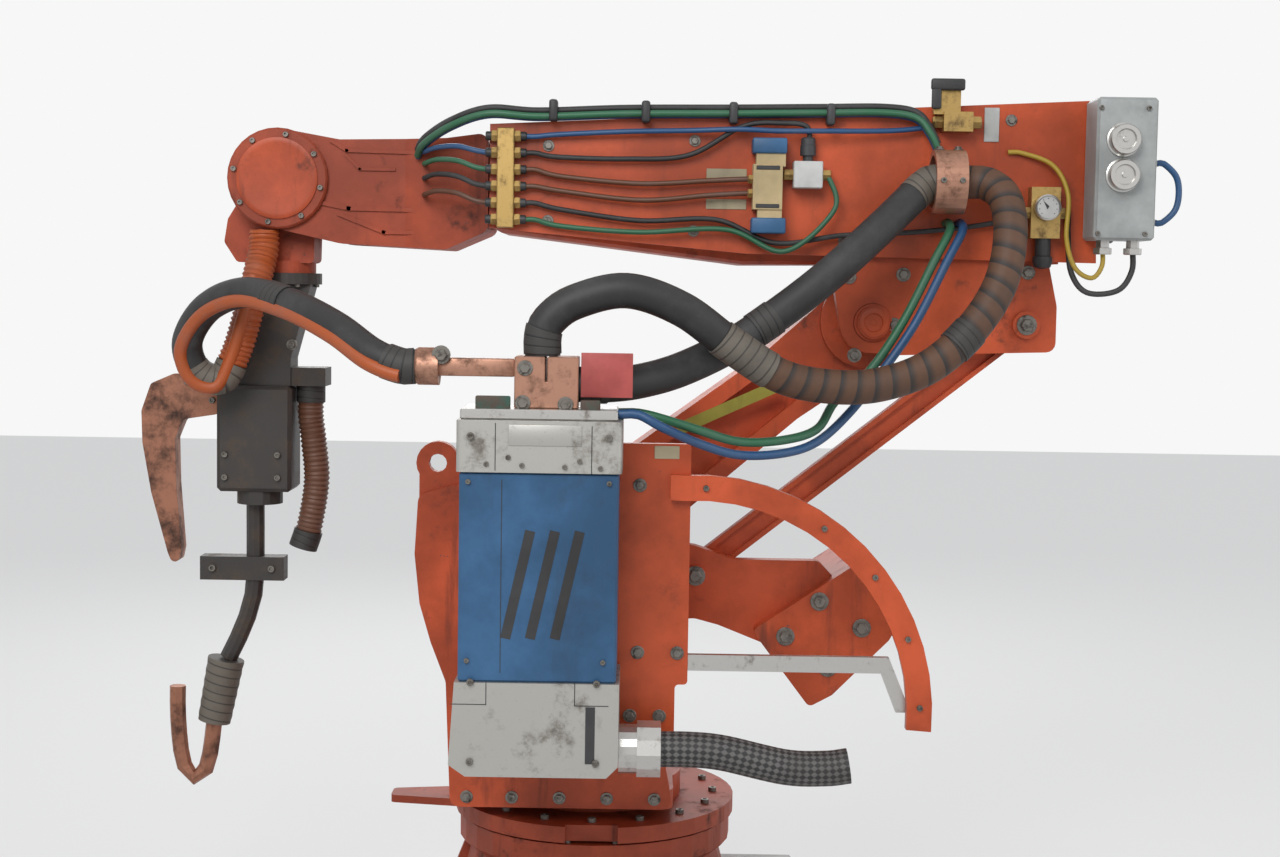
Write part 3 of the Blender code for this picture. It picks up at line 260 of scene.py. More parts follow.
aluminium = worn_metal("stained_aluminium", (0.44, 0.43, 0.40, 1), (0.16, 0.14, 0.12, 1), 0.42, 0.35, 0.55)
copper = worn_metal("tarnished_copper", (0.42, 0.22, 0.15, 1), (0.12, 0.060, 0.040, 1), 0.42, 0.6, 0.7, 18)
horn_copper = worn_metal("sooty_copper", (0.36, 0.16, 0.10, 1), (0.06, 0.035, 0.028, 1), 0.45, 0.8, 0.7, 14)
brass = worn_metal("dull_brass", (0.42, 0.28, 0.10, 1), (0.13, 0.085, 0.040, 1), 0.38, 0.6, 0.85, 30)
plated = worn_metal("plated_steel", (0.52, 0.51, 0.49, 1), (0.20, 0.18, 0.16, 1), 0.30, 0.3, 0.9, 24)
gun_steel = worn_metal("oily_gun_steel", (0.050, 0.045, 0.042, 1), (0.10, 0.070, 0.050, 1), 0.5, 0.6, 0.4,
    16)
corroded = worn_metal("corroded_copper", (0.075, 0.050, 0.038, 1), (0.055, 0.130, 0.100, 1), 0.6, 0.7, 0.3,
    26)
dress(aluminium, "transformer_top_cap", "transformer_bottom_cap")
dress(copper, "terminal_block", "cable_ring")
dress(horn_copper, "upper_electrode", "lower_electrode")
dress(brass, "hose_manifold", "pressure_regulator", "ball_valve")
dress(plated, "cable_gland", "guide_strut", "terminal_deck")
dress(gun_steel, "gun_bracket", "gun_cylinder", "gun_lower_arm", "gun_cable_clamp")

# Housings of other colours: the transformer's blue enamelled panel, sheet-steel boxes in grey, cast
# motors in black, moulded valves in beige and white, and an old mark of yellow-green paint.
blue_paint = worn_paint("scuffed_blue_enamel", (0.030, 0.115, 0.250, 1), 0.30, 0.2, 0.42, casting=False)
grey_paint = worn_paint("grey_enamel", (0.42, 0.44, 0.43, 1), 0.30, 0.3, 0.45, casting=False)
black_paint = worn_paint("black_enamel", (0.030, 0.030, 0.032, 1), 0.30, 0.4, 0.5)
beige = worn_paint("beige_moulding", (0.55, 0.42, 0.22, 1), 0.35, 0.0, 0.5, casting=False)
white_moulding = worn_paint("white_moulding", (0.60, 0.60, 0.58, 1), 0.25, 0.0, 0.4, casting=False)
yellow_green = worn_paint("old_yellow_green_paint", (0.30, 0.27, 0.030, 1), 0.6, 0.9, 0.55)
dress(blue_paint, "transformer_body")
dress(grey_paint, "junction_box", "base_cable_box")
dress(black_paint, "axis_1_motor", "axis_4_motor", "axis_5_motor", "axis_6_motor")
dress(beige, "air_valve")
dress(white_moulding, "flow_valve")

# Hoses and cables: rubber, tape, braid and ribbed sleeves, all dulled by dust. A tube's UV runs once
# round it in u and in metres along it in v, which the braids, tape turns and stripes are drawn on.
def dusty_rubber(name, colour, dust=0.5, rough=0.55):
    made, shader, wire = new_material(name)
    pale = tuple(c * 0.55 + 0.075 for c in colour[:3]) + (1,)
    film = wire.noise(7, 8, 0.7).between(0.42, 0.72) * dust
    speck = wire.noise(150, 4, 0.7).between(0.60, 0.75) * (0.4 * dust)
    film = wire.maths("MINIMUM", film + speck, 1.0)
    plug(shader["Base Color"], wire.mix(film, colour, pale))
    plug(shader["Roughness"], rough + film * 0.25)
    plug(shader["Normal"], wire.bump(wire.noise(180, 3, 0.6), 0.25, 0.0008))
    return made


def wrapped(name, dark, light, pitch, slant=1.0, strands=0, dust=0.4, width=0.2):
    """Turns of tape or a stripe of this pitch in metres; with strands, a braid of two crossing sets."""
    made, shader, wire = new_material(name)
    place = wire.grow("ShaderNodeUVMap")
    around = place.grow("ShaderNodeSeparateXYZ", output=0, _0=place)
    along = place.grow("ShaderNodeSeparateXYZ", output=1, _0=place)
    if strands:
        left = wire.maths("SINE", (around * strands + along / pitch) * math.tau)
        right = wire.maths("SINE", (around * strands - along / pitch) * math.tau)
        pattern = (left * right).between(-0.35, 0.45)
    else:
        turn = wire.maths("FRACT", around * slant + along / pitch)
        pattern = wire.maths("MINIMUM", turn.between(0.0, width), (1.0 - turn).between(0.0, 0.08))
    dirt = wire.noise(9, 8, 0.7).between(0.40, 0.75) * dust
    paint = wire.mix(pattern, dark, light)
    plug(shader["Base Color"], wire.mix(dirt, paint, (0.028, 0.022, 0.018, 1)))
    shader["Roughness"].default_value = 0.62
    fibre = wire.noise(420, 2, 0.6)
    plug(shader["Normal"], wire.bump(pattern + fibre * 0.3, 0.5, 0.0014))
    return made


black_rubber = dusty_rubber("black_hose_rubber", (0.016, 0.015, 0.015, 1), 0.55)
blue_rubber = dusty_rubber("blue_hose", (0.016, 0.075, 0.190, 1), 0.35, 0.42)
green_rubber = dusty_rubber("green_hose", (0.020, 0.120, 0.055, 1), 0.40, 0.45)
brown_rubber = dusty_rubber("brown_hose", (0.110, 0.040, 0.018, 1), 0.40, 0.45)
orange_rubber = dusty_rubber("orange_hose", (0.420, 0.085, 0.016, 1), 0.45, 0.5)
yellow_rubber = dusty_rubber("yellow_lead", (0.420, 0.280, 0.030, 1), 0.45, 0.5)
grey_tape = wrapped("dusty_tape", (0.045, 0.038, 0.032, 1), (0.150, 0.130, 0.105, 1), 0.020)
black_tape = wrapped("black_tape", (0.008, 0.008, 0.008, 1), (0.040, 0.038, 0.036, 1), 0.016)
striped_sleeve = wrapped("brown_striped_sleeve", (0.018, 0.016, 0.015, 1), (0.110, 0.050, 0.026, 1), 0.036,
    width=0.5)
mesh_sleeve = wrapped("braided_mesh_sleeve", (0.022, 0.021, 0.021, 1), (0.140, 0.135, 0.130, 1), 0.030,
    strands=9)
copper_sleeve = dusty_rubber("copper_brown_conduit", (0.150, 0.062, 0.034, 1), 0.5, 0.5)


def smooth(points, step):
    """Points about this far apart on a smooth curve through the given ones."""
    places = [Vector(point) for point in points]
    places = [2 * places[0] - places[1]] + places + [2 * places[-1] - places[-2]]
    made = []
    for a, b, c, d in zip(places, places[1:], places[2:], places[3:]):
        count = max(1, round((c - b).length / step))
        for t in (index / count for index in range(count)):
            bend, twist = 2 * a - 5 * b + 4 * c - d, 3 * b - a - 3 * c + d
            made.append(0.5 * (2 * b + (c - a) * t + bend * t**2 + twist * t**3))
    made.append(places[-2])
    return made


def run_length(path):
    return sum((b - a).length for a, b in zip(path, path[1:]))


def stretch(path, begin, end):
    """The part of the path between two distances along it."""
    made, run = [], 0.0
    for a, b in zip(path, path[1:]):
        span = (b - a).length
        if run <= begin < run + span:
            made.append(a.lerp(b, (begin - run) / span))
        if begin < run + span <= end - 0.001:
            made.append(b)
        if run < end <= run + span:
            made.append(a.lerp(b, (end - run) / span))
        run += span
    if run < end:
        made.append(path[-1])
    return made


def tube(name, path, radius, material, sides=16, swell=None, begin=0.0):
    """A capped tube along the path, with UVs; swell gives the radius at each distance from the start."""
    shape = bmesh.new()
    uv = shape.loops.layers.uv.new("UVMap")
    side = None
    rings, runs, run = [], [], begin
    for index, here in enumerate(path):
        ahead = path[min(index + 1, len(path) - 1)] - path[max(index - 1, 0)]
        ahead.normalize()
        if side is None:
            side = ahead.orthogonal().normalized()
        side = (side - ahead * side.dot(ahead)).normalized()
        other = ahead.cross(side)
        if index:
            run += (here - path[index - 1]).length
        width = swell(run - begin) if swell else radius
        angles = [math.tau * turn / sides for turn in range(sides)]
        rings.append([shape.verts.new(here + (side * math.cos(a) + other * math.sin(a)) * width)
            for a in angles])
        runs.append(run)
    for low, high, v_low, v_high in zip(rings, rings[1:], runs, runs[1:]):
        for i in range(sides):
            j = (i + 1) % sides
            face = shape.faces.new((low[i], low[j], high[j], high[i]))
            corners = ((i, v_low), (i + 1, v_low), (i + 1, v_high), (i, v_high))
            for loop, (u, v) in zip(face.loops, corners):
                loop[uv].uv = (u / sides, v)
    shape.faces.new(reversed(rings[0]))
    shape.faces.new(rings[-1])
    return placed_mesh(name, shape, material, sharp=50)


def placed_mesh(name, shape, material, sharp=35):
    """The bmesh as an object of this material, shaded smooth up to this angle in degrees."""
    mesh = bpy.data.meshes.new(name)
    shape.normal_update()
    shape.to_mesh(mesh)
    shape.free()
    mesh.materials.append(material)
    mesh.shade_smooth()
    mesh.set_sharp_from_angle(angle=math.radians(sharp))
    made = bpy.data.objects.new(name, mesh)
    bpy.context.scene.collection.objects.link(made)
    return made


def across_joint(piece, bodies):
    """Rides on one body, or, across two, stays where it lies along the path, its transform baked into the
    mesh.
    """
    if len(bodies) == 1:
        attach(piece, bodies[0])
    else:
        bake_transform(piece)


def free_cord(name, path, radius, material, bodies,
        sides=16, begin=0.0, swell=None):
    piece = tube(name, path, radius, material, sides, swell, begin)
    across_joint(piece, bodies)
    round(run_length(path), 4)
    return piece


def sleeve(name, path, radius, material, bodies, sides=20, swell=None, begin=0.0):
    piece = tube(name, path, radius, material, sides, swell, begin)
    across_joint(piece, bodies)
    return piece


# The heavy welding cable, copper strands in black rubber and a striped sleeve: from the copper block up
# and back in a loop to the clamp ring. Each run is cut where it passes to the next body, under tape.
heavy_r = 0.034
fine = 0.012
loop_path = smooth((
    (0.100, 0.5503, 1.3935), (0.100, 0.5503, 1.432), (0.088, 0.550, 1.462), (0.040, 0.550, 1.497),
    (-0.059, 0.545, 1.520), (-0.165, 0.530, 1.486), (-0.262, 0.510, 1.418), (-0.360, 0.490, 1.359),
    (-0.459, 0.470, 1.339), (-0.559, 0.455, 1.344), (-0.659, 0.440, 1.382), (-0.741, 0.420, 1.455),
    (-0.798, 0.400, 1.544), (-0.820, 0.375, 1.640), (-0.816, 0.330, 1.715), (-0.785, 0.296, 1.747),
    (-0.745, 0.286, 1.750), (-0.7065, 0.286, 1.750),
), fine)
tape_wall = 0.0025
tape_r = heavy_r + tape_wall
past_end = 9.0
loop_seam_a, loop_seam_b = 0.50, 0.98
wrap_a = sleeve("loop_tape_wrap", stretch(loop_path, 0.44, 0.56), tape_r, grey_tape, ["lower_arm"])
wrap_b = sleeve("loop_black_wrap", stretch(loop_path, 0.955, 1.005), tape_r, black_tape, ["elbow_shaft"])
cuff_a = sleeve("loop_start_cuff", stretch(loop_path, 0.004, 0.052), tape_r, black_tape, ["turret"])
loop_a = stretch(loop_path, 0.0, loop_seam_a)
loop_b = stretch(loop_path, loop_seam_a, loop_seam_b)
loop_c = stretch(loop_path, loop_seam_b, past_end)
first_run = free_cord("weld_cable_first_run", loop_a, heavy_r, black_rubber, ["turret", "lower_arm"],
    sides=24)
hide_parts("weld_cable_loop")
free_cord("weld_cable_middle_run", loop_b, heavy_r, striped_sleeve, ["lower_arm", "elbow_shaft"],
    sides=24, begin=loop_seam_a)
free_cord("weld_cable_ring_run", loop_c, heavy_r, striped_sleeve, ["elbow_shaft", "upper_arm"],
    sides=24, begin=loop_seam_b)

# The second welding cable, of the same make, which comes back from the clamp ring down to the block.
# Its last stretch is taped where the ring grips it.
back_path = smooth((
    (0.0297, 0.5503, 1.340), (0.0, 0.5503, 1.340), (-0.030, 0.545, 1.340), (-0.088, 0.505, 1.346),
    (-0.166, 0.460, 1.3675), (-0.266, 0.425, 1.4155), (-0.367, 0.400, 1.484), (-0.468, 0.375, 1.564),
    (-0.573, 0.335, 1.660), (-0.655, 0.290, 1.738), (-0.6767, 0.286, 1.750), (-0.7060, 0.286, 1.750),
), fine)
back_seam_a, back_seam_b = 0.42, 0.835
back_a = stretch(back_path, 0.0, back_seam_a)
back_b = stretch(back_path, back_seam_a, back_seam_b)
back_c = stretch(back_path, back_seam_b, past_end)
wrap_c = sleeve("return_tape_wrap", stretch(back_path, 0.395, 0.445), tape_r, black_tape, ["lower_arm"])
wrap_d = sleeve("return_ring_sleeve", back_c, heavy_r + 0.001, grey_tape, ["elbow_shaft", "upper_arm"])
cuff_b = sleeve("return_block_cuff", stretch(back_path, 0.004, 0.050), tape_r, black_tape, ["turret"])
free_cord("weld_return_first_run", back_a, heavy_r, black_rubber, ["turret", "lower_arm"],
    sides=24)
free_cord("weld_return_second_run", back_b, heavy_r, black_rubber, ["lower_arm", "elbow_shaft"],
    sides=24, begin=back_seam_a)

# The gun's rubber hose: from the copper coupling forward over the turret, round in front of the arm and
# up to the wrist's underside in an orange ribbed sleeve. It starts as a thin tail inside the coupling,
# under a black ferrule, and an orange water hose is tied along it.
hose_r = 0.032
hose_path = smooth((
    (0.1520, 0.5503, 1.3704), (0.200, 0.5503, 1.3704), (0.270, 0.5503, 1.3704), (0.3423, 0.5503, 1.3704),
    (0.372, 0.5503, 1.3704), (0.430, 0.530, 1.392), (0.510, 0.465, 1.440), (0.615, 0.365, 1.482),
    (0.729, 0.260, 1.503), (0.822, 0.190, 1.470), (0.872, 0.160, 1.398), (0.856, 0.145, 1.335),
    (0.806, 0.135, 1.318), (0.775, 0.130, 1.375), (0.752, 0.130, 1.450), (0.735, 0.120, 1.525),
    (0.724, 0.099, 1.588), (0.723, 0.094, 1.620), (0.723, 0.094, 1.637),
), 0.010)
rib_pitch = 0.011


def ribbed(radius, depth, pitch):
    return lambda run: radius - depth * (0.5 + 0.5 * math.cos(math.tau * run / pitch))


hose_total = run_length(hose_path)
tail = 0.1903
tail_r = 0.010
seam_a, seam_b, seam_c = 0.400 + tail, 0.790 + tail, 0.900 + tail
fine_end = smooth([tuple(p) for p in stretch(hose_path, seam_c, hose_total)], rib_pitch / 4)
thin_wall = 0.0015
hose_tape = sleeve("gun_hose_tape", stretch(hose_path, seam_b, seam_c), hose_r + thin_wall, grey_tape,
    ["elbow_shaft", "upper_arm"])
sleeve("gun_hose_ribbed_end", fine_end, hose_r, orange_rubber, ["upper_arm", "wrist_roll"],
    swell=ribbed(hose_r + 0.001, 0.004, rib_pitch))
hose_cuff = sleeve("gun_hose_ferrule", stretch(hose_path, tail + 0.002, tail + 0.060), hose_r + 0.003,
    black_tape, ["turret"])
hose_wrap = sleeve("gun_hose_wrap", stretch(hose_path, seam_a - 0.030, seam_a + 0.030), hose_r + tape_wall,
    black_tape, ["lower_arm"])
free_cord("gun_hose_first_run", stretch(hose_path, 0.0, seam_a), hose_r, black_rubber,
    ["turret", "lower_arm"], sides=24,
    swell=lambda run: tail_r if run < tail - 0.025 else hose_r)
free_cord("gun_hose_second_run", stretch(hose_path, seam_a, seam_b), hose_r, black_rubber,
    ["lower_arm", "elbow_shaft"], sides=24, begin=seam_a)


def beside(path, lift, sideways, closing=14):
    """The path moved up and sideways, as a hose that is tied along another one, closing in at its end."""
    last = len(path) - 1
    return [point + Vector((sideways * 0.3, sideways, lift)) * min(1, (last - step) / closing + 0.15)
        for step, point in enumerate(path)]


side_r = 0.014
side_seam = 0.70 + tail
side_path = beside(hose_path, -0.016, 0.026)
side_runs = (("turret", "lower_arm", tail + 0.02, seam_a), ("lower_arm", "elbow_shaft", seam_a, side_seam),
    ("elbow_shaft", "upper_arm", side_seam, seam_c), ("upper_arm", "wrist_roll", seam_c, past_end))
for index, (body_a, body_b, begin, end) in enumerate(side_runs):
    free_cord(f"orange_water_hose_{index + 1}", stretch(side_path, begin, end), side_r, orange_rubber,
        [body_a, body_b], sides=12)

# Cooling-water hoses of plain rubber, blue and green, from the plate under the clamp ring down and
# forward to the transformer's deck. They lie side by side, the green one nearer the arm.
water_r = 0.009
deck_gap = 0.0003
water = (("blue_water_hose", 0.5753, 0.0, blue_rubber), ("green_water_hose", 0.5253, 0.026, green_rubber))
for name, deck_y, shift, material in water:
    path = smooth((
        (-0.742 + shift, 0.2123, 1.668), (-0.742 + shift, 0.250, 1.668), (-0.738 + shift, 0.292, 1.650),
        (-0.705 + shift, 0.318, 1.590), (-0.640 + shift, 0.345, 1.464), (-0.572 + shift, 0.365, 1.365),
        (-0.505 + shift, 0.380, 1.280 + shift), (-0.440, 0.410, 1.225 + shift),
        (-0.370, 0.450, 1.205 + shift),
        (-0.282, 0.480, 1.203 + shift), (-0.204, 0.510, 1.226 + shift),
        (-0.130, deck_y - deck_gap, 1.262 + shift / 2),
        (-0.085, deck_y - deck_gap, 1.285), (-0.0463, deck_y - deck_gap, 1.285),
    ), 0.012)
    total = run_length(path)
    cuts = [total * share for share in (0.0, 0.20, 0.55, 1.0)]
    chain = ("upper_arm", "elbow_shaft", "lower_arm", "turret")
    for index in range(3):
        part = stretch(path, cuts[index], cuts[index + 1])
        free_cord(f"{name}_{index + 1}", part, water_r, material, [chain[index], chain[index + 1]], sides=14,
            begin=cuts[index])

# Fixings, all oily zinc-plated steel: socket cap screws, and hexagon bolts on washers. There is one mesh
# for each body that they ride on, and each stands on the face of the piece that it holds.
def turned_form(shape, place, direction, profile, sides=14):
    """Spins a (radius, height) profile, foot first, into a closed solid that stands along a direction."""
    before = set(shape.verts)
    corners = ((0, profile[0][1]),) + tuple(profile)
    points = [shape.verts.new((radius, 0, height)) for radius, height in corners]
    edges = [shape.edges.new(pair) for pair in zip(points, points[1:])]
    bmesh.ops.spin(shape, geom=points + edges, cent=(0, 0, 0), axis=(0, 0, 1), angle=math.tau, steps=sides,
        use_merge=True)
    made = [vert for vert in shape.verts if vert not in before]
    bmesh.ops.remove_doubles(shape, verts=made, dist=1e-6)
    made = [vert for vert in shape.verts if vert not in before]
    bmesh.ops.recalc_face_normals(shape, faces=list({face for vert in made for face in vert.link_faces}))
    turn = Vector(direction).to_track_quat("Z", "Y").to_matrix()
    bmesh.ops.rotate(shape, verts=made, cent=(0, 0, 0), matrix=turn)
    bmesh.ops.translate(shape, verts=made, vec=place)


def soft_box(shape, low, high, soft=0.002, segments=2):
    """Adds a box with rounded edges to the mesh."""
    low, high = Vector(low), Vector(high)
    made = bmesh.ops.create_cube(shape, size=1)["verts"]
    bmesh.ops.scale(shape, verts=made, vec=high - low)
    bmesh.ops.translate(shape, verts=made, vec=(high + low) / 2)
    edges = list({edge for vert in made for edge in vert.link_edges})
    bmesh.ops.bevel(shape, geom=edges, offset=soft, offset_type="OFFSET", segments=segments, profile=0.5,
        affect="EDGES", material=-1, clamp_overlap=True)


def slab(shape, outline, near, far):
    """Extrudes (x, z) corners between two Ys."""
    face = shape.faces.new([shape.verts.new((x, near, z)) for x, z in outline])
    pushed = bmesh.ops.extrude_face_region(shape, geom=[face])["geom"]
    moved = [part for part in pushed if isinstance(part, bmesh.types.BMVert)]
    bmesh.ops.translate(shape, verts=moved, vec=(0, far - near, 0))
    bmesh.ops.recalc_face_normals(shape, faces=list({f for vert in moved for edge in vert.link_edges
        for f in edge.link_faces} | {face}))


def ridge(shape, points, width, near, far):
    """Bars along a line of (x, z) points: cast ribs, seams and painted bands."""
    for first, second in zip(points, points[1:]):
        first, second = Vector(first), Vector(second)
        along = (second - first).normalized()
        side = Vector((-along.y, along.x)) * width / 2
        first, second = first - along * width / 2, second + along * width / 2
        slab(shape, [tuple(first - side), tuple(second - side), tuple(second + side), tuple(first + side)],
            near, far)


def seen(across_px, down_px, depth):
    """The point at this Y that the photograph shows at this pixel, by a camera taken as level."""
    scale = (camera_place[1] - depth) / focal_px
    return Vector((camera_place[0] - (across_px - photo_width / 2) * scale, depth,
        camera_place[2] - (down_px - horizon_row) * scale))


def all_seen(pixels, depth):
    return [seen(across_px, down_px, depth) for across_px, down_px in pixels]


def cap_screw(shape, place, direction, r):
    turned_form(shape, place, direction, ((r, 0), (r, r * 0.85), (r * 0.88, r), (r * 0.52, r),
        (r * 0.48, r * 0.5), (0, r * 0.5)))


def hex_bolt(shape, place, direction, r):
    turned_form(shape, place, direction, ((r * 1.5, 0), (r * 1.5, r * 0.2), (r * 1.42, r * 0.26),
        (0, r * 0.26)), 20)
    turned_form(shape, place, direction, ((r, r * 0.24), (r, r * 0.85), (r * 0.86, r * 0.98), (0, r * 0.98)),
        6)


def ring_of(centre, radius, count, axis, begin=0.0):
    """Places evenly round a centre, in the plane across this axis."""
    made = []
    for step in range(count):
        a = begin + math.tau * step / count
        first, second = radius * math.cos(a), radius * math.sin(a)
        offset = {"x": (0, first, second), "y": (first, 0, second), "z": (first, second, 0)}[axis]
        made.append(Vector(centre) + Vector(offset))
    return made


def fixings(name, body, screws=(), bolts=()):
    shape = bmesh.new()
    for spots, direction, r in screws:
        for spot in spots:
            cap_screw(shape, spot, direction, r)
    for spots, direction, r in bolts:
        for spot in spots:
            hex_bolt(shape, spot, direction, r)
    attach(placed_mesh(name, shape, dark_zinc, sharp=28), body)


dark_zinc = worn_metal("oily_zinc", (0.200, 0.185, 0.165, 1), (0.050, 0.040, 0.033, 1), 0.42, 0.7, 0.75, 60)
left, right, up, down, rear, front = (0, 1, 0), (0, -1, 0), (0, 0, 1), (0, 0, -1), (-1, 0, 0), (1, 0, 0)
shoulder_x, shoulder_z = 0.110, 0.920
wrist_x, wrist_z = 0.6902, 1.7454
arc_x, arc_z, arc_r, arc_face_y = -0.204, 0.690, 0.446, 0.4726
arc_angles = [math.radians(a) for a in (92, 124, 142, 160, 178)]
arc_spots = [(arc_x + arc_r * math.cos(a), arc_face_y, arc_z + arc_r * math.sin(a)) for a in arc_angles]
foot_xs = (-0.13, -0.03, 0.07, 0.17, 0.265)
fixings("turret_fixings", "turret", screws=(
    (ring_of((0, 0, 0.4052), 0.262, 16, "z"), up, 0.009),
    (ring_of((shoulder_x, 0.3253, shoulder_z), 0.118, 10, "y"), left, 0.008),
    (ring_of((shoulder_x, -0.2554, shoulder_z), 0.140, 12, "y"), right, 0.008),
    (arc_spots, left, 0.006),
    (all_seen(((486, 468), (508, 461), (522, 469), (565, 470), (580, 464), (601, 471)), 0.6504), left,
        0.005),
    (all_seen(((470, 440), (609, 440), (472, 772), (600, 772), (472, 690), (600, 690)), 0.6504), left,
        0.007),
    (all_seen(((468, 486), (610, 486), (468, 668), (606, 668)), 0.6447), left, 0.005),
), bolts=(
    (all_seen(((641, 487), (680, 487), (641, 657), (681, 657), (634, 722), (664, 722)), 0.4504), left,
        0.009),
    (all_seen(((524, 371), (522, 406), (565, 407)), 0.5957), left, 0.010),
    ([seen(440, 359, 0.5766)], left, 0.012),
    ([(x, 0.2504, 0.452) for x in foot_xs], left, 0.009),
    ([(x, -0.1654, 0.452) for x in foot_xs], right, 0.009),
))
fixings("upper_arm_fixings", "upper_arm", screws=(
    ([(-0.9902, y + dy, z + dz) for y, z in ((-0.065, 1.820), (0.080, 1.820), (0.010, 1.690))
      for dy in (-0.040, 0.040) for dz in (-0.040, 0.040)], rear, 0.005),
    (all_seen(((1092, 104), (1139, 104), (1092, 228), (1139, 228)), 0.3216), left, 0.005),
), bolts=(
    (all_seen(((853, 353), (892, 322), (900, 272), (846, 275), (1024, 268)), 0.1953), left, 0.010),
    (all_seen(((545, 150), (545, 224), (690, 143), (690, 232), (1003, 118), (1003, 248), (840, 240)),
        0.2124),
     left, 0.008),
    ([(x, -0.1953, z) for x, z in ((-0.50, 1.55), (-0.66, 1.57), (-0.80, 1.57), (-0.92, 1.57))], right,
        0.010),
))
fixings("wrist_fixings", "wrist_roll", screws=(
    (ring_of((wrist_x, 0.1224, wrist_z), 0.094, 8, "y", 0.2), left, 0.006),
    (ring_of((wrist_x, -0.1084, wrist_z), 0.085, 8, "y", 0.2), right, 0.007),
))
fixings("gun_fixings", "tool", screws=(
    (ring_of((wrist_x, 0, 1.5212), 0.064, 6, "z"), down, 0.006),
    ([(x, 0.0602, z) for z in (1.10, 1.15) for x in (0.700, 0.815)], left, 0.007),
    ([(x, -0.0602, z) for z in (1.10, 1.15) for x in (0.700, 0.815)], right, 0.007),
    ([(0.72, 0.0242, 0.895), (0.85, 0.0242, 0.895)], left, 0.008),
), bolts=(([(0.672, 0.0452, 1.47), (0.672, 0.0452, 1.39)], left, 0.008),))
fixings("horn_fixings", "gun_arm", screws=(
    ([(0.850, 0.0242, 1.265), (0.862, 0.0242, 1.300), (0.905, 0.0242, 1.305)], left, 0.007),
    ([(0.850, -0.0242, 1.265), (0.905, -0.0242, 1.305)], right, 0.007),
))
fixings("lever_fixings", "lever", bolts=(
    ([(-0.210, 0.1962, 0.920)], left, 0.014),
    ([(-0.40, 0.2303, 0.80), (-0.47, 0.2303, 0.875), (-0.49, 0.2303, 0.735), (-0.56, 0.2303, 0.82)], left,
        0.013),
))
fixings("base_fixings", "base", screws=(
    ([(-0.4502, y, z) for y in (-0.075, 0.075) for z in (0.065, 0.212)], rear, 0.006),
    (ring_of((0, 0, 0.3652), 0.285, 18, "z"), up, 0.006),
))
fixings("rod_pin_fixings", "rod_pin", bolts=(([(-0.8918, 0.2072, 1.4604)], left, 0.014),))

# The elbow pin's cap, turned from steel and painted with the arm: a raised ring round a bored centre,
# pressed over the pin's end.
shape = bmesh.new()
turned_form(shape, (-0.5718, 0.2131, 1.4604), left, ((0.030, 0), (0.030, 0.003), (0.027, 0.004),
    (0.020, 0.004), (0.018, 0.001), (0.007, 0.001), (0.005, -0.004), (0, -0.004)), 28)
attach(placed_mesh("elbow_pin_cap", shape, dirty_orange), "elbow_shaft")

# Push-in fittings on the hose manifold: a brass hexagon and a dark plastic release ring at each of the
# twelve ports. Thin nylon hoses leave them for the valves behind and for the wrist in front.
shape = bmesh.new()
rings = bmesh.new()
port_z = [1.7479 + 0.03417 * (row - 2.5) for row in range(6)]
for z in port_z:
    for side, x in ((1, 0.2147), (-1, 0.1797)):
        turned_form(shape, (x, 0.2273, z), (side, 0, 0), ((0.012, 0), (0.0125, 0.002), (0.0125, 0.011),
            (0.011, 0.013), (0, 0.013)), 6)
        turned_form(rings, (x + side * 0.0128, 0.2273, z), (side, 0, 0),
            ((0.0095, 0), (0.0095, 0.010), (0.008, 0.012), (0, 0.012)), 14)
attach(placed_mesh("manifold_fittings", shape, brass, sharp=28), "upper_arm")
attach(placed_mesh("manifold_release_rings", rings, black_paint), "upper_arm")

air_r = 0.0055
port_y = 0.2273
air_step = 0.008
rear_ports = (
    ("brown_air_hose_1", brown_rubber, port_z[3], ((0.08, 0.228, 1.752), (-0.08, 0.232, 1.740),
        (-0.22, 0.232, 1.748), (-0.290, 0.235, 1.752), (-0.3115, 0.235, 1.752))),
    ("brown_air_hose_2", brown_rubber, port_z[2], ((0.08, 0.229, 1.722), (-0.08, 0.234, 1.706),
        (-0.22, 0.234, 1.718), (-0.290, 0.235, 1.723), (-0.3115, 0.235, 1.723))),
    ("dark_air_hose_1", black_rubber, port_z[4], ((0.09, 0.228, 1.792), (-0.05, 0.230, 1.790),
        (-0.18, 0.230, 1.800), (-0.29, 0.236, 1.860), (-0.37, 0.236, 1.868), (-0.423, 0.235, 1.860),
        (-0.4252, 0.235, 1.812))),
    ("dark_air_hose_2", black_rubber, port_z[1], ((0.08, 0.228, 1.684), (-0.08, 0.231, 1.664),
        (-0.24, 0.231, 1.668), (-0.360, 0.240, 1.622), (-0.50, 0.232, 1.640), (-0.66, 0.230, 1.650),
        (-0.80, 0.232, 1.668), (-0.870, 0.232, 1.690), (-0.8843, 0.232, 1.6925))),
    ("green_air_hose", green_rubber, port_z[0], ((0.08, 0.228, 1.650), (-0.08, 0.238, 1.640),
        (-0.26, 0.238, 1.648), (-0.380, 0.252, 1.605), (-0.480, 0.246, 1.690), (-0.470, 0.240, 1.755),
        (-0.4560, 0.235, 1.7625))),
    ("blue_air_hose", blue_rubber, port_z[5], ((0.09, 0.228, 1.838), (-0.05, 0.232, 1.846),
        (-0.18, 0.232, 1.850), (-0.28, 0.246, 1.853), (-0.36, 0.246, 1.851), (-0.44, 0.246, 1.852),
        (-0.60, 0.236, 1.856), (-0.690, 0.232, 1.868), (-0.6995, 0.2323, 1.875))),
)
for name, material, z, rest in rear_ports:
    path = smooth(((0.1552, port_y, z), (0.135, port_y, z)) + rest, air_step)
    free_cord(name, path, air_r, material, ["upper_arm"], sides=10)
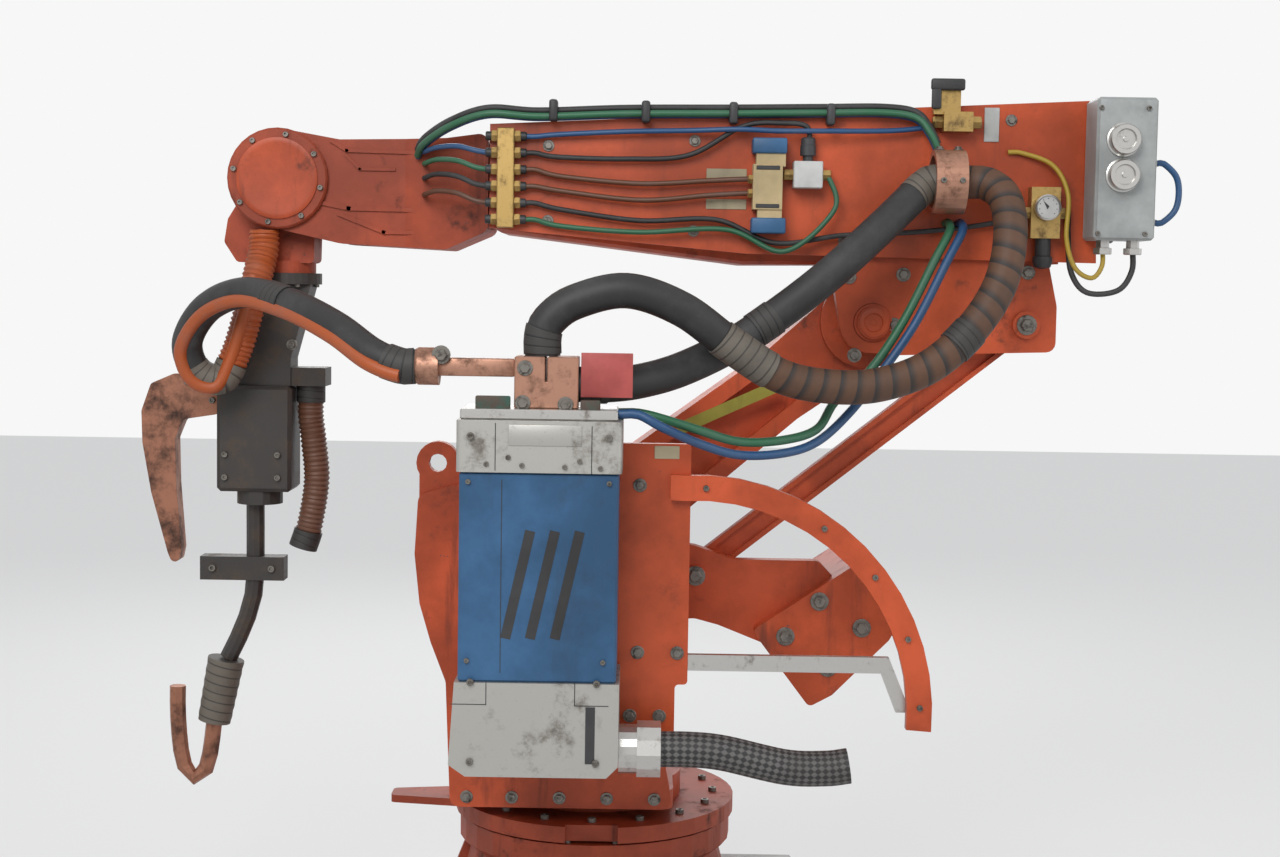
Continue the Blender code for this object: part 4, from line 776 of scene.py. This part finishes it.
front_ports = ((port_z[4], 1.805, blue_rubber), (port_z[3], 1.780, green_rubber),
    (port_z[2], 1.750, black_rubber), (port_z[1], 1.715, brown_rubber))
for index, (z, far_z, material) in enumerate(front_ports):
    path = smooth(((0.2395, port_y, z), (0.262, port_y, z + 0.004), (0.300, 0.214, (z + far_z) / 2 + 0.010),
        (0.345, 0.180, far_z + 0.006), (0.372, 0.150, far_z), (0.378, 0.1205, far_z)), air_step)
    free_cord(f"wrist_air_hose_{index + 1}", path, air_r, material, ["upper_arm", "wrist_roll"], sides=10)

# The bundle of three rubber hoses along the arm's upper edge, held by moulded clips that are screwed to
# the plate. It dives into the wrist casting, and each hose is cut where it passes to that body.
bundle_r, bundle_seam, bundle_y = 0.0072, 0.27, 0.222
bundle = (("upper_blue_hose", 0.000, 0.000, blue_rubber), ("upper_green_hose", 0.015, 0.002, green_rubber),
    ("upper_dark_hose", 0.007, 0.014, black_rubber))
for name, aside, lift, material in bundle:
    path = smooth(((0.392, 0.120 + aside / 2, 1.795 + lift), (0.374, 0.150 + aside, 1.818 + lift),
        (0.315, 0.192 + aside, 1.852 + lift), (0.235, 0.221 + aside, 1.876 + lift),
        (0.130, bundle_y + aside, 1.872 + lift), (-0.05, bundle_y + aside, 1.880 + lift),
        (-0.27, bundle_y + aside, 1.884 + lift), (-0.45, bundle_y + aside, 1.888 + lift),
        (-0.58, 0.226 + aside, 1.890 + lift), (-0.645, 0.232 + aside, 1.880 + lift),
        (-0.672, 0.240 + aside, 1.850 + lift), (-0.690, 0.243 + aside, 1.815 + lift)), 0.010)
    free_cord(f"{name}_1", stretch(path, 0, bundle_seam), bundle_r, material, ["wrist_roll", "upper_arm"],
        sides=12)
    free_cord(f"{name}_2", stretch(path, bundle_seam, run_length(path)), bundle_r, material, ["upper_arm"],
        sides=12)
shape = bmesh.new()
for x in (0.10, -0.09, -0.27, -0.47):
    soft_box(shape, (x - 0.009, 0.2125, 1.864), (x + 0.009, 0.250, 1.909), 0.006, 3)
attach(placed_mesh("bundle_clips", shape, black_paint), "upper_arm")

# The valves' small parts: the air valve's blue moulded coils and its screws, brass unions on every valve
# and on the regulator, the flow valve's knob on its stem, and the regulator's bowl.
def union_nut(shape, place, direction, r, length, tip_r, top):
    """A hexagon whose end narrows to the hose."""
    turned_form(shape, place, direction, ((r, 0), (r, length), (tip_r, top), (0, top)), 6)


shape = bmesh.new()
for low, high in ((1.804, 1.836), (1.641, 1.673)):
    soft_box(shape, (-0.3805, 0.2135, low), (-0.3095, 0.2640, high), 0.004, 3)
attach(placed_mesh("valve_coils", shape, blue_paint), "upper_arm")
shape = bmesh.new()
for place, direction, r, length, tip_r, top in (
    ((-0.3120, 0.235, 1.752), front, 0.010, 0.008, 0.008, 0.010),
    ((-0.3120, 0.235, 1.723), front, 0.010, 0.008, 0.008, 0.010),
    ((-0.3950, 0.235, 1.7625), front, 0.012, 0.018, 0.010, 0.020),
    ((-0.4555, 0.235, 1.7625), rear, 0.012, 0.016, 0.009, 0.018),
    ((-0.6995, 0.2323, 1.8750), front, 0.014, 0.016, 0.010, 0.020),
    ((-0.7605, 0.2323, 1.8750), rear, 0.014, 0.018, 0.010, 0.020),
    ((-0.8848, 0.2323, 1.6925), front, 0.013, 0.014, 0.009, 0.016),
    ((-0.9450, 0.2323, 1.6925), rear, 0.013, 0.012, 0.009, 0.014),
):
    union_nut(shape, place, direction, r, length, tip_r, top)
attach(placed_mesh("valve_fittings", shape, brass, sharp=28), "upper_arm")
shape = bmesh.new()
turned_form(shape, (-0.4252, 0.2348, 1.7890), up, ((0.0105, 0), (0.0105, 0.013), (0.0165, 0.013),
    (0.0165, 0.033), (0.0150, 0.035), (0.0150, 0.047), (0.0125, 0.050), (0, 0.050)), 18)
turned_form(shape, (-0.9148, 0.2323, 1.6405), down, ((0.0165, 0), (0.0165, 0.036), (0.0200, 0.038),
    (0.021, 0.048), (0.017, 0.060), (0, 0.064)), 18)
for z in (1.697, 1.775):
    soft_box(shape, (-0.366, 0.2625, z - 0.004), (-0.318, 0.2645, z + 0.004), 0.0008, 1)
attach(placed_mesh("valve_knobs", shape, black_paint), "upper_arm")

# Thin plates glued or riveted on: two beige labels and a white plate on the arm, and one more beige label
# on the transformer's bracket.
label_beige = worn_paint("bare_label", (0.50, 0.42, 0.27, 1), 0.30, 0.0, 0.5, casting=False)
shape = bmesh.new()
for (x0, y0), (x1, y1), depth in (((702, 182), (742, 170), 0.2124), ((702, 210), (742, 200), 0.2124)):
    low, high = seen(x1, y0, depth), seen(x0, y1, depth)
    soft_box(shape, low, high + Vector((0, 0.0016, 0)), 0.0006, 1)
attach(placed_mesh("arm_labels", shape, label_beige), "upper_arm")
shape = bmesh.new()
soft_box(shape, seen(680, 460, 0.4504), seen(655, 447, 0.4504) + Vector((0, 0.0016, 0)), 0.0006, 1)
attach(placed_mesh("bracket_label", shape, label_beige), "turret")
shape = bmesh.new()
soft_box(shape, (-0.821, 0.2124, 1.838), (-0.790, 0.2148, 1.908), 0.0008, 1)
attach(placed_mesh("arm_white_plate", shape, white_moulding), "upper_arm")

# The copper coupling that joins the gun's hose to the terminal block: a square bar with a turned socket
# on its end, bolted to the block's front.
shape = bmesh.new()
soft_box(shape, (0.1513, 0.530, 1.3530), (0.3195, 0.571, 1.3870), 0.004, 2)
turned_form(shape, (0.297, 0.5503, 1.3703), front, ((0.036, 0), (0.036, 0.040), (0.033, 0.045), (0, 0.045)),
    28)
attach(placed_mesh("cable_coupling", shape, copper, sharp=28), "turret")

# An aluminium plate in the transformer's cap, and a reddish enamelled tag with round corners that hangs
# behind the block.
tag_red = worn_paint("bare_red_tag", (0.50, 0.090, 0.080, 1), 0.28, 0.0, 0.45, casting=False)
shape = bmesh.new()
soft_box(shape, (0.020, 0.6503, 1.229), (0.157, 0.6525, 1.268), 0.0015, 2)
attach(placed_mesh("cap_plate", shape, aluminium), "turret")
shape = bmesh.new()
soft_box(shape, (-0.073, 0.5885, 1.3175), (0.025, 0.5905, 1.4020), 0.006, 3)
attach(placed_mesh("block_tag", shape, tag_red), "turret")

# The clamp ring's two bolts and two screws, the pressure gauge's plated bezel, white face, marks and
# needle, and the ball valve's steel handle with its black plastic coat.
shape = bmesh.new()
for x in (-0.726, -0.688):
    hex_bolt(shape, (x, 0.286, 1.8150), up, 0.007)
    cap_screw(shape, (x, 0.3510, 1.7500), left, 0.006)
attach(placed_mesh("ring_screws", shape, dark_zinc, sharp=28), "upper_arm")
gauge = (-0.9148, 0.2744, 1.7025)
shape = bmesh.new()
turned_form(shape, gauge, left, ((0.0255, -0.014), (0.0265, -0.012), (0.0265, 0.003), (0.0245, 0.005),
    (0.0225, 0.003), (0.0225, 0.0005), (0, 0.0005)), 32)
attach(placed_mesh("gauge_bezel", shape, plated), "upper_arm")
shape = bmesh.new()
turned_form(shape, (gauge[0], gauge[1] + 0.0006, gauge[2]), left,
    ((0.0222, 0), (0.0222, 0.0008), (0, 0.0008)), 32)
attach(placed_mesh("gauge_dial", shape, white_moulding), "upper_arm")
shape = bmesh.new()
for step in range(9):
    a = math.radians(225 - 270 * step / 8)
    spot = Vector((gauge[0] - 0.018 * math.cos(a), gauge[1] + 0.0018, gauge[2] + 0.018 * math.sin(a)))
    soft_box(shape, spot - Vector((0.0009, 0.0004, 0.0009)), spot + Vector((0.0009, 0.0004, 0.0009)), 0.0002,
        1)
slab(shape, ((gauge[0] + 0.002, gauge[2] - 0.004), (gauge[0] + 0.010, gauge[2] + 0.013),
    (gauge[0] - 0.002, gauge[2] + 0.002)), gauge[1] + 0.0016, gauge[1] + 0.0024)
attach(placed_mesh("gauge_needle", shape, black_paint), "upper_arm")
shape = bmesh.new()
soft_box(shape, (-0.742, 0.2475, 1.938), (-0.672, 0.2600, 1.962), 0.005, 3)
soft_box(shape, (-0.694, 0.2480, 1.900), (-0.674, 0.2585, 1.945), 0.004, 3)
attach(placed_mesh("ball_valve_handle", shape, black_paint), "upper_arm")

# The junction box on the arm's rear end: a pressed lid held by four screws, two plated round sockets with
# their caps, gland nuts below, a blue air loop behind, and the yellow and the dark lead that go into it.
shape = bmesh.new()
soft_box(shape, (-1.1190, 0.3172, 1.6410), (-1.0040, 0.3214, 1.9190), 0.003, 2)
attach(placed_mesh("junction_lid", shape, grey_paint), "upper_arm")
shape = bmesh.new()
for z in (1.8378, 1.7668):
    turned_form(shape, (-1.0515, 0.3216, z), left, ((0.034, 0), (0.034, 0.006), (0.030, 0.008),
        (0.031, 0.008), (0.031, 0.024), (0.029, 0.0275), (0.021, 0.0275), (0.019, 0.022), (0.006, 0.022),
        (0.005, 0.026), (0, 0.026)), 30)
for x in (-1.0923, -1.0308):
    turned_form(shape, (x, 0.2648, 1.6375), down, ((0.0135, 0), (0.0135, 0.015), (0.019, 0.016),
        (0.019, 0.027), (0.0175, 0.029), (0, 0.029)), 6)
for z in (1.7950, 1.6750):
    union_nut(shape, (-1.1232, 0.2650, z), rear, 0.011, 0.010, 0.008, 0.012)
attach(placed_mesh("junction_sockets", shape, plated, sharp=28), "upper_arm")
free_cord("junction_blue_loop", smooth(((-1.1355, 0.265, 1.795), (-1.150, 0.265, 1.795),
    (-1.176, 0.265, 1.770), (-1.183, 0.265, 1.735), (-1.176, 0.265, 1.700), (-1.150, 0.265, 1.675),
    (-1.1355, 0.265, 1.675)), 0.006), 0.0065, blue_rubber, ["upper_arm"], sides=12)
free_cord("junction_yellow_lead", smooth(((-1.0308, 0.2648, 1.6250), (-1.0308, 0.2648, 1.585),
    (-1.010, 0.268, 1.560), (-0.975, 0.268, 1.580), (-0.957, 0.262, 1.640), (-0.960, 0.250, 1.730),
    (-0.930, 0.236, 1.790), (-0.870, 0.222, 1.815), (-0.840, 0.2190, 1.817)), 0.007), 0.0050, yellow_rubber,
    ["upper_arm"], sides=10)
free_cord("junction_dark_lead", smooth(((-1.0923, 0.2648, 1.6250), (-1.0923, 0.2648, 1.575),
    (-1.065, 0.262, 1.535), (-1.005, 0.252, 1.530), (-0.975, 0.236, 1.570), (-0.968, 0.226, 1.640),
    (-0.968, 0.2185, 1.700)), 0.007), 0.0060, black_rubber, ["upper_arm"], sides=10)

# The gun's own cable, a ribbed copper-coloured conduit between two black cuffs, from the clamp down the
# side of the gun body; the taped sleeve on the lower electrode; the supply cable in its woven mesh.
gun_path = smooth(((0.638, 0, 1.2995), (0.638, 0, 1.270), (0.638, 0, 1.230), (0.632, 0, 1.180),
    (0.625, 0, 1.090), (0.640, 0, 0.990), (0.655, 0, 0.940)), 0.0028)
gun_total = run_length(gun_path)
gun_cuff_r = 0.0315
gun_cuffs = [sleeve(name, stretch(gun_path, begin, end), gun_cuff_r, black_tape, ["tool"]) for name, begin,
    end in (("gun_cable_top_cuff", 0.0, 0.036), ("gun_cable_foot_cuff", gun_total - 0.040, gun_total))]
gun_run = free_cord("gun_cable_run", gun_path, 0.0285, copper_sleeve, ["tool"], sides=20,
    swell=ribbed(0.0290, 0.0035, 0.0105))
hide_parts("gun_cable")
sleeve_path = smooth(((0.825, 0, 0.688), (0.8385, 0, 0.6175), (0.852, 0, 0.547)), 0.006)
taped = sleeve("electrode_taped_sleeve", sleeve_path, 0.038, grey_tape, ["tool"],
    swell=lambda run: 0.040 - 0.004 * run / 0.1436 + 0.0006 * math.sin(run * 260))
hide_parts("gun_sleeve")
supply = smooth(((-0.1376, 0.5503, 0.634), (-0.196, 0.5503, 0.634), (-0.260, 0.5503, 0.628),
    (-0.380, 0.5403, 0.600), (-0.460, 0.5353, 0.597), (-0.505, 0.5353, 0.603)), 0.008)
braid = sleeve("supply_cable_braid", supply, 0.0345, mesh_sleeve, ["turret"], sides=28)
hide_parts("primary_cable")

# Ribs and the cover's lug, cast on the wrist's left side in painted iron, and the flat turned caps that
# close its bearing on both sides.
def seen_flat(pixels, depth):
    """(x, z) of photograph pixels at this Y."""
    return [(seen(px, py, depth).x, seen(px, py, depth).z) for px, py in pixels]


shape = bmesh.new()
wrist_y = 0.1078
for pixels, wide in ((((300, 206), (347, 215), (470, 216)), 0.009), (((419, 178), (419, 214)), 0.007),
        (((338, 221), (382, 238), (434, 238), (437, 218)), 0.008),
        (((330, 149), (345, 158), (470, 160)), 0.007), (((345, 163), (358, 176), (392, 176)), 0.006),
        (((455, 217), (455, 243)), 0.007)):
    ridge(shape, seen_flat(pixels, wrist_y), wide, wrist_y, wrist_y + 0.0045)
slab(shape, seen_flat(((286, 150), (318, 168), (318, 206), (292, 214)), wrist_y), wrist_y, wrist_y + 0.009)
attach(placed_mesh("wrist_ribs", shape, filthy_orange), "wrist_roll")
shape = bmesh.new()
turned_form(shape, (wrist_x, 0.1224, wrist_z), left, ((0.0860, 0), (0.0860, 0.0030), (0.0800, 0.0046),
    (0.0745, 0.0040), (0, 0.0040)), 56)
turned_form(shape, (wrist_x, -0.1084, wrist_z), right, ((0.0760, 0), (0.0760, 0.0040), (0.0720, 0.0060),
    (0, 0.0060)), 48)
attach(placed_mesh("wrist_cover_caps", shape, dirty_orange, sharp=28), "wrist_roll")

# The seams of the transformer's aluminium caps and of its panel, a wide black strip that is painted shade
# for a slot in the lower cap, slanted stripes painted on the panel, and two copper blocks on the deck, green
# with corrosion.
shape = bmesh.new()
cap_y, panel_y = 0.6504, 0.6443
for pixels in (((495, 427), (495, 474)), ((592, 429), (592, 476)), ((488, 690), (488, 713)),
        ((452, 713), (488, 713)), ((578, 713), (612, 713)), ((578, 690), (578, 713))):
    ridge(shape, seen_flat(pixels, cap_y), 0.0016, cap_y - 0.0003, cap_y + 0.0004)
# A wide black strip on the lower cap: painted shade for the dark inside of a slot, drawn as a raised bar,
# not cut in.
ridge(shape, seen_flat(((594, 719), (594, 768)), cap_y), 0.018, cap_y - 0.0003, cap_y + 0.0006)
ridge(shape, seen_flat(((502, 484), (502, 680)), panel_y + 0.0003), 0.0014, panel_y, panel_y + 0.0006)
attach(placed_mesh("cap_seams_and_slot_shade", shape, black_paint), "turret")
shape = bmesh.new()
for first, second in (((508, 640), (530, 540)), ((533, 640), (555, 540)), ((558, 640), (580, 540))):
    ridge(shape, seen_flat((first, second), panel_y + 0.0003), 0.019, panel_y, panel_y + 0.0007)
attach(placed_mesh("panel_stripes", shape, black_paint), "turret")
shape = bmesh.new()
soft_box(shape, seen(475, 420, 0.592), seen(510, 399, 0.592) + Vector((0, 0.012, 0)), 0.003, 2)
soft_box(shape, seen(600, 424, 0.600), seen(580, 402, 0.600) + Vector((0, 0.012, 0)), 0.003, 2)
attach(placed_mesh("deck_blocks", shape, corroded), "turret")

# An old mark of yellow-green paint, brushed across the outer face of the lower arm's casting over the
# orange.
shape = bmesh.new()
ridge(shape, seen_flat(((683, 428), (770, 388)), 0.0706), 0.026, 0.0700, 0.0708)
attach(placed_mesh("old_paint_mark", shape, yellow_green), "lower_arm")
